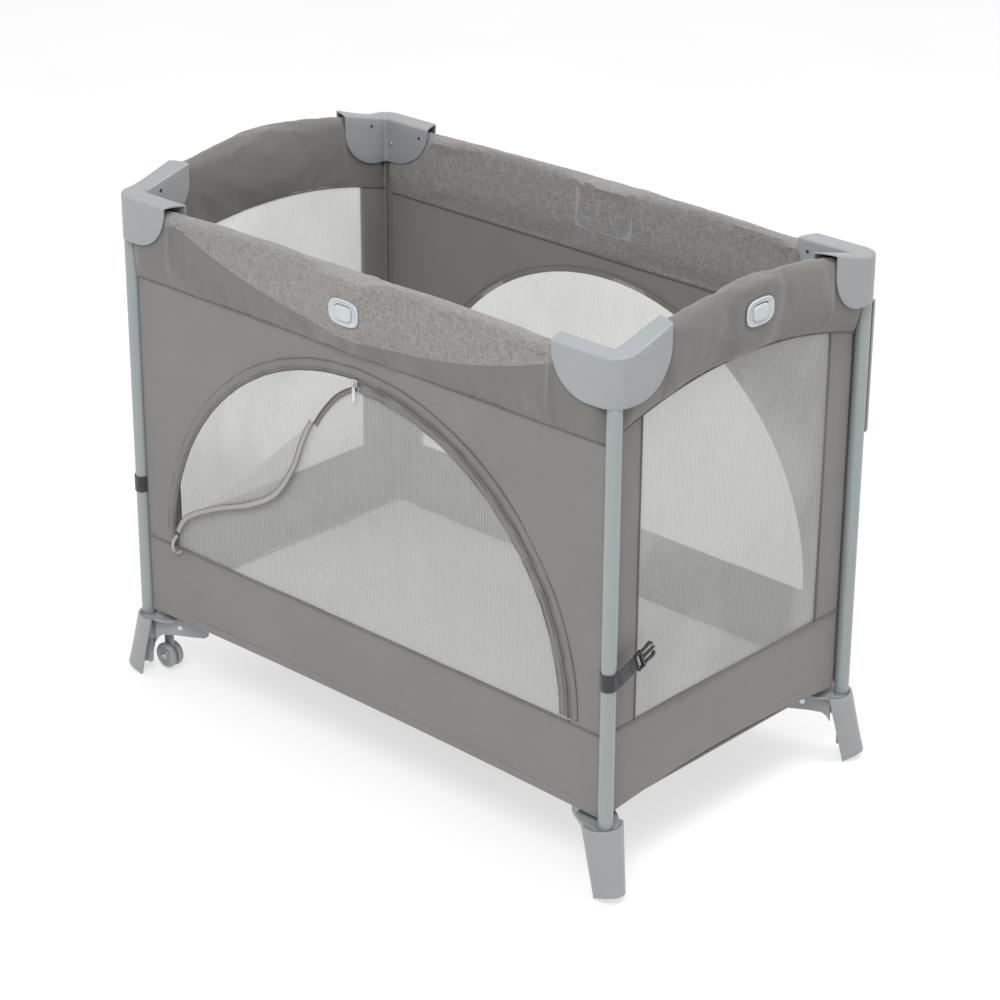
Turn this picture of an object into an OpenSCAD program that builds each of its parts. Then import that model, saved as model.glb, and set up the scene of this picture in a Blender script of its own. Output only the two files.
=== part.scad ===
// Folding playpen (travel cot). Long side along X, short side along Y, standing on Z = 0,
// with the origin on the floor below the middle. The front is the -Y side.

/* [Frame] */
// Distance between the corner posts along the long side
span_x = 920; // [860:10:980]
// Distance between the corner posts along the short side
span_y = 520; // [500:10:560]
// Outside diameter of a corner post
post_d = 21; // [20:0.5:22]
// Outside diameter of the rail and base tubes
tube_d = 18; // [16:1:18]
// Height of the straight rails' centre line
rail_z = 750; // [700:10:760]

/* [Corner caps] */
// Length of a cap's long-side wing from the post's axis
wing_x = 96; // [90:1:100]
// Length of a cap's short-side wing from the post's axis
wing_y = 92; // [90:1:94]
// Height of a cap
cap_h = 70; // [66:1:75]

/* [Feet and base] */
// Height of a foot's collar
foot_h = 100; // [98:1:104]
// Distance from the post's axis to the base strut's rivet
foot_pivot = 54; // [54:1:56]
// Distance from the middle of the hub to a strut's pin
hub_pivot = 52; // [50:1:54]
// Height of the base struts' centre line
strut_z = 88; // [86:1:90]
// Diameter of a transport wheel
wheel_d = 40; // [36:1:42]

/* [Fabric] */
// Height of the fabric's bottom hem
hem_z = 122; // [120:1:126]
// Height of the seam above the lower band, where the door and the windows begin
seam_z = 235; // [225:5:245]
// Radius of the door's zip
door_r = 394; // [380:1:396]
// Height of the arched door above its lower seam
door_h = 378; // [370:1:384]
// Thickness of the mattress
mattress_t = 20; // [15:1:25]

/* [Hidden] */
$fn = 48;

plastic = [0.69, 0.72, 0.73];
paint = [0.62, 0.66, 0.67];
steel = [0.75, 0.75, 0.76];
cloth = [0.55, 0.54, 0.51];
mesh_grey = [0.72, 0.72, 0.70];
pad = [0.72, 0.72, 0.70];
webbing = [0.12, 0.12, 0.13];

half_x = span_x / 2;
half_y = span_y / 2;
diagonal = sqrt(half_x * half_x + half_y * half_y);
diagonal_angle = atan(half_y / half_x);
strut_len = diagonal - foot_pivot - hub_pivot;

post_r = post_d / 2;
tube_r = tube_d / 2;
tube_wall = 1.2;
pin_r = 3;
pin_bore_r = 3.05;
open_bore_r = 3.3;

cap_out = 17;
cap_in = 20;
cap_wall = 3;
cap_corner_r = 30;
cap_edge_r = 62;
cap_block_r = 12.6;
cap_rise = 22;
cap_top = rail_z + cap_out + 8;
cap_bottom = cap_top - cap_h;
post_top = cap_top - cap_wall - 1;
post_bottom = 60;

cap_pivot_x = 50;
cap_pivot_y = 27;
arch_rise = 43;
short_rail_z = rail_z + 3;
rail_len_x = strut_len * cos(diagonal_angle);
rail_len_y = strut_len * sin(diagonal_angle);
latch_pivot_x = half_x - cap_pivot_x - rail_len_x;
latch_pivot_y = half_y - cap_pivot_y - rail_len_y;
rail_end = 7;
rail_bow = 10;

sleeve_out = 16;
sleeve_wall = 1.5;
sleeve_top = rail_z + tube_r + 5;
sleeve_bottom = 650;
sleeve_edge_r = 5;
sleeve_h_short = 111;
short_top = rail_z + 15 + arch_rise;
short_low = short_top - sleeve_h_short;
arch_r = (half_y * half_y + arch_rise * arch_rise) / (2 * arch_rise);
panel_t = 3;
front_plane = half_y + 2;
side_plane = half_x - 10;

latch_wall = 3.5;
latch_gap = 10.5;
latch_out = latch_gap + latch_wall;
plate_w = 52;
plate_h = 37;
plate_t = 5;
button_w = 28;
button_h = 20;
front_button_z = 715;
short_button_z = 766;

wheel_gap = 2.6;
wheel_w = 9;
wheel_x = 16;
wheel_y = 24;
wheel_z = wheel_d / 2 + 5;

// ---------------------------------------------------------------- placing

// A corner's own frame: +x runs inward along the long side, +y inward along the short side
module at_corner(sx, sy) {
    translate([sx * half_x, sy * half_y, 0])
        mirror([sx > 0 ? 1 : 0, 0, 0])
            mirror([0, sy > 0 ? 1 : 0, 0])
                children();
}

// The same corner, with +x along the diagonal towards the hub
module at_diagonal(sx, sy) {
    at_corner(sx, sy) rotate([0, 0, diagonal_angle]) children();
}

// A long side's own frame: +y points outward
module at_long_side(sy) {
    translate([0, sy * half_y, 0]) mirror([0, sy < 0 ? 1 : 0, 0]) children();
}

// A short side's own frame: +x along the rail, +y points outward
module at_short_side(sx) {
    mirror([sx < 0 ? 1 : 0, 0, 0])
        translate([half_x, 0, 0]) rotate([0, 0, -90]) children();
}

// A profile drawn in x and z, extruded along y from y0 to y1
module along_y(y0, y1) {
    translate([0, y1, 0]) rotate([90, 0, 0]) linear_extrude(y1 - y0) children();
}

// A profile drawn in y and z, extruded along x from x0 to x1
module along_x(x0, x1) {
    translate([x0, 0, 0]) rotate([90, 0, 90]) linear_extrude(x1 - x0) children();
}

module rod_x(x0, x1, r) {
    translate([x0, 0, 0]) rotate([0, 90, 0]) cylinder(h = x1 - x0, r = r);
}

module rod_y(y0, y1, r) {
    translate([0, y0, 0]) rotate([-90, 0, 0]) cylinder(h = y1 - y0, r = r);
}

module round_rect(w, h, r) {
    square([w, h - 2 * r], center = true);
    square([w - 2 * r, h], center = true);
    for (x = [-1, 1], y = [-1, 1])
        translate([x * (w / 2 - r), y * (h / 2 - r)]) circle(r);
}

// ---------------------------------------------------------------- corners

module post(sx, sy) {
    color(paint) at_corner(sx, sy) translate([0, 0, post_bottom])
        difference() {
            cylinder(h = post_top - post_bottom, r = post_r);
            translate([0, 0, -1]) cylinder(h = post_top, r = post_r - tube_wall);
        }
}

// Side view of a wing: its top rises by rise, and a quarter circle runs below its free end
module wing_profile(len, rise) {
    corner_x = len - cap_edge_r;
    end_z = cap_bottom + cap_edge_r;
    translate([-cap_out, cap_bottom]) square([cap_out + corner_x, cap_h]);
    intersection() {
        translate([corner_x, end_z]) circle(cap_edge_r);
        translate([corner_x, cap_bottom]) square(cap_edge_r);
    }
    polygon([[-cap_out, end_z], [len, end_z], [len, cap_top + rise], [cap_out, cap_top],
             [-cap_out, cap_top]]);
}

// Plan view of the cap or, with an inset, of the hollow inside it
module cap_plan(inset, over) {
    c = cap_corner_r - cap_out;
    width = 60;
    linear_extrude(cap_top + 100) {
        translate([c, c]) circle(cap_corner_r - inset);
        translate([c, inset - cap_out]) square([wing_x - c + over, width]);
        translate([inset - cap_out, c]) square([width, wing_y - c + over]);
    }
}

// The two wings, filled
module cap_solid() {
    intersection() {
        union() {
            along_y(-cap_out, cap_in) wing_profile(wing_x, 0);
            along_x(-cap_out, cap_in) wing_profile(wing_y, cap_rise);
        }
        cap_plan(0, 0);
    }
}

// The hollow under the cap: open below and at both free ends
module cap_hollow() {
    inner = cap_in - cap_wall;
    outer = cap_out - cap_wall;
    low = cap_bottom - 1;
    roof = cap_top - cap_wall;
    over = wing_y + 9;
    intersection() {
        union() {
            translate([-outer, -outer, low]) cube([wing_x + 40, outer + inner, roof - low]);
            along_x(-outer, inner)
                polygon([[-outer, low], [over, low], [over, roof + cap_rise + 1],
                         [cap_out, roof], [-outer, roof]]);
        }
        cap_plan(cap_wall, 40);
    }
}

module cap(sx, sy) {
    pin_hole = pin_r + 0.01;
    color(plastic) at_corner(sx, sy) difference() {
        union() {
            difference() {
                cap_solid();
                cap_hollow();
            }
            intersection() {
                translate([0, 0, cap_bottom + 3]) cylinder(h = cap_h, r = cap_block_r);
                cap_solid();
            }
        }
        translate([0, 0, cap_bottom - 1])
            cylinder(h = post_top + 1.3 - cap_bottom, r = post_r + 0.05);
        translate([cap_pivot_x, 0, rail_z]) rod_y(-40, 40, pin_hole);
        translate([0, cap_pivot_y, short_rail_z]) rod_x(-40, 40, pin_hole);
    }
}

// Splayed leg, collar round the post and the two cheeks that hold the base strut
module foot(sx, sy, wheel) {
    cheek = 3.5;
    slot = tube_r + 0.5;
    color(plastic) {
        at_diagonal(sx, sy) difference() {
            union() {
                intersection() {
                    along_y(-40, 40)
                        polygon([[-17, foot_h], [16, foot_h], [16, 58], [-5, 50], [-18, 0], [-30, 0]]);
                    along_x(-60, 60)
                        polygon([[-27, foot_h], [27, foot_h], [19, 6], [14, 0], [-14, 0], [-19, 6]]);
                }
                translate([0, -slot - cheek, wheel ? 58 : 74])
                    cube([40, 2 * (slot + cheek), foot_h - (wheel ? 58 : 74)]);
                for (side = [-1, 1]) translate([0, side * (slot + cheek / 2), 0])
                    along_y(-cheek / 2, cheek / 2)
                        polygon([[30, 74], [95, 79], [98, 84], [95, 97], [40, foot_h], [30, foot_h]]);
                along_y(-2.5, 2.5)
                    polygon([[-17, 6], [-6, 54], [38, 76], [38, 70], [20, 62], [-8, 6]]);
            }
            translate([0, 0, post_bottom - 0.2]) cylinder(h = 100, r = post_r + 0.3);
            translate([foot_pivot, 0, strut_z]) rod_y(-30, 30, pin_r + 0.01);
        }
        if (wheel) at_corner(sx, sy) difference() {
            translate([wheel_x - 9, wheel_y - 2, wheel_z - 9]) cube([18, 4, 60 - wheel_z + 9]);
            translate([wheel_x, 0, wheel_z]) rod_y(0, 40, pin_r + 0.01);
        }
    }
}

// Rail rivets in the cap, the strut's rivet in the foot, and a wheel's axle
module rivets(sx, sy, wheel) {
    color(steel) {
        at_corner(sx, sy) {
            translate([cap_pivot_x, 0, rail_z]) rod_y(-cap_out - 1, cap_in + 1, pin_r);
            translate([cap_pivot_x, 0, rail_z]) rod_y(-cap_out - 1.5, -cap_out, 4);
            translate([0, cap_pivot_y, short_rail_z]) rod_x(-cap_out - 1, cap_in + 1, pin_r);
            translate([0, cap_pivot_y, short_rail_z]) rod_x(-cap_out - 1.5, -cap_out, 4);
            if (wheel) translate([wheel_x, wheel_y, wheel_z]) {
                rod_y(-13, 13, pin_r);
                for (y = [-13.6, 12.1]) rod_y(y, y + 1.5, 5);
            }
        }
        at_diagonal(sx, sy) translate([foot_pivot, 0, strut_z]) {
            rod_y(-14, 14, pin_r);
            for (y = [-14.6, 13]) rod_y(y, y + 1.6, 6);
        }
    }
}

// Two discs on one axle, either side of the foot's bracket
module wheel(sx, sy) {
    color(plastic) at_corner(sx, sy) translate([wheel_x, wheel_y, wheel_z])
        for (side = [0, 1]) mirror([0, side, 0]) difference() {
            rod_y(wheel_gap, wheel_gap + wheel_w, wheel_d / 2);
            rod_y(0, 20, pin_bore_r);
            translate([0, wheel_gap + wheel_w, 0]) rotate([90, 0, 0])
                rotate_extrude() translate([8, 0]) square([8, 3]);
        }
}

// ---------------------------------------------------------------- base

module strut(sx, sy) {
    end = 8;
    color(paint) at_diagonal(sx, sy) translate([foot_pivot, 0, strut_z]) difference() {
        rod_x(-end, strut_len + end, tube_r);
        rod_x(-end - 1, strut_len + end + 1, tube_r - tube_wall);
        for (x = [0, strut_len]) translate([x, 0, 0]) rod_y(-20, 20, pin_bore_r);
    }
}

module at_hub_arm(sx, sy) {
    at_diagonal(sx, sy) translate([foot_pivot + strut_len, 0, strut_z]) children();
}

module hub_body() {
    bottom = strut_z - 14;
    roof = strut_z + 13;
    color(plastic) difference() {
        translate([0, 0, bottom]) cylinder(h = 36, r = hub_pivot + 14, $fn = 96);
        for (sx = [-1, 1], sy = [-1, 1]) at_hub_arm(sx, sy) {
            translate([-40, -tube_r - 0.5, -20])
                cube([53, 2 * tube_r + 1, 20 + roof - strut_z]);
            rod_y(-17, 17, pin_r + 0.01);
        }
    }
}

module hub_pins() {
    color(steel) for (sx = [-1, 1], sy = [-1, 1]) at_hub_arm(sx, sy) rod_y(-16, 16, pin_r);
}

module hub_foot() {
    color(webbing) rotate_extrude()
        polygon([[0, 0], [26, 0], [26, 5], [16, 14], [16, strut_z - 14.2], [0, strut_z - 14.2]]);
}

// Flat webbing loop on top of the hub, pulled up to fold the frame
module pull_strap() {
    color(webbing) translate([0, 0, strut_z + 22.2]) {
        translate([-55, -12.5, 0]) cube([110, 25, 2]);
        translate([-40, -12.5, 2.3]) cube([80, 25, 2]);
        for (x = [-40, 37]) translate([x, -12.5, 1]) cube([3, 25, 2]);
    }
}

// ---------------------------------------------------------------- rails

// Half of a straight rail, from the cap's rivet to the latch's pin
module long_half(sx, sy, open_end) {
    color(paint) at_corner(sx, sy) translate([cap_pivot_x, 0, rail_z]) difference() {
        rod_x(-rail_end, rail_len_x + rail_end, tube_r);
        rod_x(-rail_end - 1, rail_len_x + rail_end + 1, tube_r - tube_wall);
        rod_y(-20, 20, pin_bore_r);
        translate([rail_len_x, 0, 0]) rod_y(-20, 20, open_end ? open_bore_r : pin_bore_r);
    }
}

// An arc of tube that starts and ends level, bowed up in its middle, in the x-z plane
module bowed_tube(len, rise, r, over) {
    bow_r = (len * len / 4 + rise * rise) / (2 * rise);
    turn = 2 * asin((len / 2 + over) / bow_r);
    translate([len / 2, 0, rise - bow_r]) rotate([90, 0, 0])
        rotate([0, 0, 90 - turn / 2]) rotate_extrude(angle = turn, $fn = 96)
            translate([bow_r, 0]) circle(r);
}

module short_half(sx, sy, open_end) {
    color(paint) at_corner(sx, sy) translate([0, cap_pivot_y, short_rail_z])
        rotate([0, 0, 90]) difference() {
            bowed_tube(rail_len_y, rail_bow, tube_r, rail_end);
            bowed_tube(rail_len_y, rail_bow, tube_r - tube_wall, rail_end + 1);
            rod_y(-20, 20, pin_bore_r);
            translate([rail_len_y, 0, 0]) rod_y(-20, 20, open_end ? open_bore_r : pin_bore_r);
        }
}

// Channel that holds the two half rails, with the button's plate on its outer face
module latch(pivot, pivot_z, half_len, z0, z1, button_z) {
    color(plastic) difference() {
        union() {
            for (y = [-latch_out, latch_gap]) translate([-half_len, y, z0])
                cube([2 * half_len, latch_wall, z1 - z0]);
            translate([-half_len, -latch_out, z0]) cube([2 * half_len, 2 * latch_out, 3]);
            translate([0, 0, button_z]) along_y(latch_out - 1, latch_out + plate_t)
                round_rect(plate_w, plate_h, 9);
        }
        translate([0, 0, button_z]) along_y(0, 40)
            round_rect(button_w + 0.8, button_h + 0.8, 5.4);
        for (x = [-pivot, pivot]) translate([x, 0, pivot_z]) rod_y(-20, 20, pin_r + 0.01);
    }
}

module latch_pins(pivot, pivot_z) {
    color(steel) for (x = [-pivot, pivot]) translate([x, 0, pivot_z])
        rod_y(-latch_out, latch_out, pin_r);
}

// Push button with a flange behind the latch's wall
module button(button_z) {
    color(plastic) translate([0, 0, button_z]) {
        along_y(latch_gap - 1, latch_out + plate_t + 2) round_rect(button_w, button_h, 5);
        translate([-12, latch_gap - 2.8, -14]) cube([24, 2.5, 28]);
    }
}

module long_latch(sy) {
    at_long_side(sy)
        latch(latch_pivot_x, rail_z, latch_pivot_x + 14, front_button_z - 21,
              sleeve_top - 5, front_button_z);
}

module short_latch(sx) {
    at_short_side(sx)
        latch(latch_pivot_y, short_rail_z, latch_pivot_y + 13, short_low + 5,
              short_top - 5, short_button_z);
}

// ---------------------------------------------------------------- fabric

// Flat panel of a side: full width up to the caps, narrower between the caps' walls
module side_panel(half_len, top) {
    along_y(0, panel_t) {
        translate([-half_len + 13, hem_z]) square([2 * half_len - 26, cap_bottom - 3 - hem_z]);
        translate([-half_len + 22, cap_bottom - 4]) square([2 * half_len - 44, top - cap_bottom + 4]);
    }
}

// Padded sleeve round a straight rail, with rounded top edges
module long_sleeve() {
    len = half_x - wing_x - 1;
    edge = sleeve_out - sleeve_edge_r;
    translate([-len, -sleeve_out, sleeve_bottom])
        cube([2 * len, 2 * sleeve_out, sleeve_top - sleeve_bottom - sleeve_edge_r]);
    translate([-len, -edge, sleeve_bottom]) cube([2 * len, 2 * edge, sleeve_top - sleeve_bottom]);
    for (y = [-edge, edge]) translate([0, y, sleeve_top - sleeve_edge_r])
        rod_x(-len, len, sleeve_edge_r);
}

module long_side() {
    len = half_x - wing_x;
    difference() {
        union() {
            translate([0, front_plane - half_y - panel_t, 0])
                side_panel(half_x, rail_z - tube_r - 3);
            long_sleeve();
        }
        translate([-len, -sleeve_out + sleeve_wall, sleeve_bottom + 4])
            cube([2 * len, 2 * (sleeve_out - sleeve_wall), sleeve_top - sleeve_bottom - 6.5]);
        button_window(front_button_z);
    }
}

// Hole for the button's plate in a sleeve's outer face
module button_window(z) {
    translate([0, 0, z]) along_y(0, 40) round_rect(plate_w + 2, plate_h + 2, 10);
}

module side_front() {
    color(cloth) at_long_side(-1) difference() {
        long_side();
        along_y(-10, 10) intersection() {
            translate([0, seam_z]) scale([1, door_h / door_r]) circle(door_r, $fn = 128);
            translate([-door_r, seam_z]) square([2 * door_r, door_r]);
        }
    }
}

module side_back() {
    color(cloth) at_long_side(1) long_side();
}

// Arched band between two heights at the middle, in x and z
module arch_band(z_low, z_high, len) {
    intersection() {
        translate([-len, z_low - 60]) square([2 * len, z_high - z_low + 60]);
        difference() {
            translate([0, z_high - arch_r]) circle(arch_r, $fn = 360);
            translate([0, z_low - arch_r]) circle(arch_r, $fn = 360);
        }
    }
}

module short_side(sx) {
    len = half_y - wing_y - 1;
    color(cloth) at_short_side(sx) difference() {
        union() {
            translate([0, side_plane - half_x, 0])
                side_panel(half_y + 1, short_rail_z - tube_r - 3);
            along_y(-sleeve_out, sleeve_out) arch_band(short_low, short_top, len);
        }
        along_y(-sleeve_out + sleeve_wall, sleeve_out - sleeve_wall)
            arch_band(short_low + 3, short_top - 2, len + 1);
        button_window(short_button_z);
    }
}

// Door mesh: zipped on the right, its free edge turned down from the slider to the lower left
module door_mesh() {
    inner = door_r - 2;
    free_edge = [[0, 600], [-60, 552], [-82, 528], [-350, 292], [-372, 280], [-388, seam_z + 1]];
    color(mesh_grey) at_long_side(-1) along_y(-4, -1.6) difference() {
        intersection() {
            translate([0, seam_z + 1]) scale([1, door_h / door_r]) circle(inner, $fn = 128);
            translate([-inner, seam_z + 1]) square([2 * inner, inner]);
        }
        polygon(concat(free_edge, [[-450, seam_z], [-450, 700], [0, 700]]));
    }
}

module floor_panel() {
    inset = 3;
    color(cloth) translate([0, 0, hem_z - 4]) linear_extrude(3)
        square([2 * (side_plane - inset), 2 * (front_plane - panel_t - inset)], center = true);
}

module mattress() {
    color(pad) translate([0, 0, hem_z - 0.7]) linear_extrude(mattress_t)
        round_rect(2 * (side_plane - 14), 2 * (front_plane - 15), 20);
}

// ---------------------------------------------------------------- trim

module zip_slider() {
    color(steel) at_long_side(-1) translate([4, 3, seam_z + door_h - 4]) {
        along_y(0, 4) round_rect(12, 8, 2);
        along_y(3.5, 9) circle(1.5);
    }
}

module zip_pull() {
    color(steel) at_long_side(-1) translate([4, 0, seam_z + door_h - 4])
        along_y(7.4, 8.9) difference() {
            union() {
                circle(3.4);
                translate([-2.6, -24]) square([5.2, 23]);
                translate([0, -24]) circle(2.6);
            }
            circle(1.58);
        }
}

// Webbing band round a post, with a sewn tail
module strap_band(z, tail) {
    color(webbing) translate([0, 0, z]) {
        difference() {
            cylinder(h = 25, r = post_r + 2.2);
            translate([0, 0, -1]) cylinder(h = 27, r = post_r + 0.1);
        }
        if (tail) translate([-post_r - 2.1, 0, 0]) cube([2, 38.8, 25]);
    }
}

module strap_right() {
    at_corner(1, -1) strap_band(309, true);
}

module strap_left() {
    at_corner(-1, -1) strap_band(306, false);
}

// Half of a side-release buckle on the end of the webbing tail
module buckle() {
    color(webbing) at_corner(1, -1) translate([-post_r - 5.8, 39, 309]) {
        cube([6, 14, 27]);
        translate([1, 13, 11]) cube([4, 26, 5]);
        for (z = [1, 21]) translate([1, 13, z]) cube([4, 20, 5]);
        for (z = [0, 22]) translate([0.5, 28, z]) cube([5, 9, 5]);
    }
}

// Flat strip with a round lower end, on the outside of the rear right post below its cap
module rear_post_strip() {
    w = 16;
    low = 505;
    color(plastic) at_corner(1, 1) along_y(-post_r - 4.2, -post_r - 0.2) {
        translate([-w / 2, low + w / 2]) square([w, cap_bottom - 1 - low - w / 2]);
        translate([0, low + w / 2]) circle(w / 2);
    }
}

post(1, -1);  // post_front_right
post(-1, -1);  // post_front_left
post(1, 1);  // post_rear_right
post(-1, 1);  // post_rear_left
cap(1, -1);  // cap_front_right
cap(-1, -1);  // cap_front_left
cap(1, 1);  // cap_rear_right
cap(-1, 1);  // cap_rear_left
foot(1, -1, false);  // foot_front_right
foot(-1, -1, true);  // foot_front_left
foot(1, 1, false);  // foot_rear_right
foot(-1, 1, true);  // foot_rear_left
rivets(1, -1, false);  // rivets_front_right
rivets(-1, -1, true);  // rivets_front_left
rivets(1, 1, false);  // rivets_rear_right
rivets(-1, 1, true);  // rivets_rear_left
strut(1, -1);  // strut_front_right
strut(-1, -1);  // strut_front_left
strut(1, 1);  // strut_rear_right
strut(-1, 1);  // strut_rear_left
hub_body();
hub_pins();
hub_foot();
pull_strap();
long_half(1, -1, true);  // rail_front_right
long_half(-1, -1, false);  // rail_front_left
long_half(1, 1, true);  // rail_back_right
long_half(-1, 1, false);  // rail_back_left
short_half(-1, -1, true);  // rail_left_front
short_half(-1, 1, false);  // rail_left_rear
short_half(1, -1, true);  // rail_right_front
short_half(1, 1, false);  // rail_right_rear
long_latch(-1);  // latch_front
long_latch(1);  // latch_back
short_latch(-1);  // latch_left
short_latch(1);  // latch_right
at_long_side(-1) latch_pins(latch_pivot_x, rail_z);  // latch_pins_front
at_long_side(1) latch_pins(latch_pivot_x, rail_z);  // latch_pins_back
at_short_side(-1) latch_pins(latch_pivot_y, short_rail_z);  // latch_pins_left
at_short_side(1) latch_pins(latch_pivot_y, short_rail_z);  // latch_pins_right
at_long_side(-1) button(front_button_z);  // button_front
at_long_side(1) button(front_button_z);  // button_back
at_short_side(-1) button(short_button_z);  // button_left
at_short_side(1) button(short_button_z);  // button_right
wheel(-1, -1);  // wheel_front
wheel(-1, 1);  // wheel_rear
side_front();
side_back();
short_side(-1);  // side_left
short_side(1);  // side_right
door_mesh();
floor_panel();
mattress();
zip_slider();
zip_pull();
strap_right();
buckle();
strap_left();
rear_post_strip();
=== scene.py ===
import math

import bmesh
import bpy
import numpy as np
from mathutils import Matrix, Vector, noise


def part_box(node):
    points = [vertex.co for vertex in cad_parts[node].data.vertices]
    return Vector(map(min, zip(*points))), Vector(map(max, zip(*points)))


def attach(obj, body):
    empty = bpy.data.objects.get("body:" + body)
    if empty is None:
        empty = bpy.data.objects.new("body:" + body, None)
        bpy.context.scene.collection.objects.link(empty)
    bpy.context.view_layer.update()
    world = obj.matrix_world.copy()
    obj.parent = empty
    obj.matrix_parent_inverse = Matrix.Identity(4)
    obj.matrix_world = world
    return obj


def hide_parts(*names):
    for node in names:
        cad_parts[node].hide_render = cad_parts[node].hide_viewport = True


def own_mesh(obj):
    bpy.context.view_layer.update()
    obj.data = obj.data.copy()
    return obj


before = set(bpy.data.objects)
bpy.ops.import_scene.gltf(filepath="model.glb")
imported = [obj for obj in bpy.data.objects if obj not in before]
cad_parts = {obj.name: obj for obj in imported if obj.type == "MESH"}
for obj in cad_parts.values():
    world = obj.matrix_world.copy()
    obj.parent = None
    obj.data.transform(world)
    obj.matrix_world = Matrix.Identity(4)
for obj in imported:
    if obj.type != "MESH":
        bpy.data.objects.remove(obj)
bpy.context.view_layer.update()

# A folding playpen: caps, feet and trim are moulded shells lofted here, the side walls are sewn sheets,
# the top sleeves and the mattress are cloth simulations. Lengths are in metres, in the model's frame.
MM = 0.001
HALF_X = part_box("post_front_right")[0].x / 2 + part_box("post_front_right")[1].x / 2
HALF_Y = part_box("post_rear_right")[0].y / 2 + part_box("post_rear_right")[1].y / 2
POST_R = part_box("post_front_right")[1].x - HALF_X
DIAGONAL = math.atan2(HALF_Y, HALF_X)
CORNERS = {"front_right": (1, -1), "front_left": (-1, -1), "rear_right": (1, 1), "rear_left": (-1, 1)}

HEM_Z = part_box("side_front")[0].z
RAIL_Z = 0.750
SEAM_Z = 0.235
DOOR_X = 0.003
DOOR_R = 0.391
DOOR_H = 0.378
WINDOW_R = 0.385
SLEEVE_LOW = 0.650
SLEEVE_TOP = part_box("side_front")[1].z
SHORT_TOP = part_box("side_left")[1].z
SHORT_DEPTH = 0.111
ARCH_R = 0.8076
PANEL_END_X = 0.447
PANEL_END_Y = 0.248
WINDOW_Y = 0.197


# ------------------------------------------------------------------ mesh helpers

def add_mesh(name, verts, faces, materials, marks=None, flip=False):
    """A new object from points and faces; marks gives each face's material index."""
    mesh = bpy.data.meshes.new(name)
    if flip:
        faces = [tuple(reversed(f)) for f in faces]
    mesh.from_pydata([tuple(v) for v in verts], [], faces)
    for m in materials:
        mesh.materials.append(m)
    if marks is not None:
        mesh.polygons.foreach_set("material_index", marks)
    mesh.polygons.foreach_set("use_smooth", [True] * len(mesh.polygons))
    mesh.update()
    obj = bpy.data.objects.new(name, mesh)
    bpy.context.scene.collection.objects.link(obj)
    return obj


def grid_faces(rows, cols, wrap=False, start=0):
    """Quads of a rows x cols grid of points; wrap joins the last column to the first."""
    faces = []
    for i in range(rows - 1):
        for j in range(cols if wrap else cols - 1):
            k = (j + 1) % cols
            faces.append((start + i * cols + j, start + i * cols + k,
                          start + (i + 1) * cols + k, start + (i + 1) * cols + j))
    return faces


def bake(obj, angle=40):
    """Applies the object's modifiers and marks edges sharper than angle."""
    bpy.context.view_layer.update()
    graph = bpy.context.evaluated_depsgraph_get()
    mesh = bpy.data.meshes.new_from_object(obj.evaluated_get(graph), depsgraph=graph)
    mesh.name = obj.name
    obj.modifiers.clear()
    obj.data = mesh
    mesh.polygons.foreach_set("use_smooth", [True] * len(mesh.polygons))
    mesh.set_sharp_from_angle(angle=math.radians(angle))
    return obj


def add_bevel(obj, width, segments, degrees):
    """Rounds the edges that are sharper than degrees."""
    bevel = obj.modifiers.new("Bevel", "BEVEL")
    bevel.width = width
    bevel.segments = segments
    bevel.limit_method = "ANGLE"
    bevel.angle_limit = math.radians(degrees)


def thicken(obj, thickness, offset=-1.0, rim=0.0):
    """Gives a sheet its thickness and, with rim, rounded edges."""
    solid = obj.modifiers.new("Solidify", "SOLIDIFY")
    solid.thickness = thickness
    solid.offset = offset
    if rim:
        add_bevel(obj, rim, 2, 50)
    return bake(obj)


def soften(node, width, look):
    """Rounds a CAD part's edges with modifiers and gives it a material."""
    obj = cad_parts[node]
    weld = obj.modifiers.new("Weld", "WELD")
    weld.merge_threshold = 0.00001
    add_bevel(obj, width, 2, 35)
    dress(obj, look)


def dress(obj, look):
    obj.data.materials.clear()
    obj.data.materials.append(look)


def frames_along(points, closed):
    """Tangent, side and up vectors at each point of a polyline, without twist."""
    n = len(points)
    tangents = []
    for i in range(n):
        a = points[(i - 1) % n] if closed or i > 0 else points[0]
        b = points[(i + 1) % n] if closed or i < n - 1 else points[-1]
        tangents.append((b - a).normalized())
    side = tangents[0].orthogonal().normalized()
    out = []
    for t in tangents:
        side = (side - t * side.dot(t)).normalized()
        out.append((t, side, t.cross(side)))
    return out


def tube(name, points, radius, look, sides=8, closed=False, flat=1.0):
    """A round cord along a line, or a flattened one."""
    points = [Vector(p) for p in points]
    verts = []
    for p, (_, side, up) in zip(points, frames_along(points, closed)):
        for k in range(sides):
            a = 2 * math.pi * k / sides
            verts.append(p + side * (radius * math.cos(a)) + up * (radius * flat * math.sin(a)))
    faces = grid_faces(len(points), sides, wrap=True)
    if closed:
        last = (len(points) - 1) * sides
        faces += [(last + j, last + (j + 1) % sides, (j + 1) % sides, j) for j in range(sides)]
    else:
        faces.append(tuple(reversed(range(sides))))
        faces.append(tuple(range(len(verts) - sides, len(verts))))
    return add_mesh(name, verts, faces, [look])


def ribbon(name, centre, across, width, thickness, look, rim=0.0):
    """A flat tape: centre points, and the direction across it at each of them."""
    verts, cols = [], 5
    for p, a in zip(centre, across):
        for j in range(cols):
            verts.append(Vector(p) + Vector(a) * (width * (j / (cols - 1) - 0.5)))
    obj = add_mesh(name, verts, grid_faces(len(centre), cols), [look])
    return thicken(obj, thickness, 0.0, rim)


def join(name, objects):
    """One object from several; materials are kept."""
    bpy.ops.object.select_all(action="DESELECT")
    for o in objects:
        o.select_set(True)
    bpy.context.view_layer.objects.active = objects[0]
    bpy.ops.object.join()
    objects[0].name = name
    return objects[0]


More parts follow.
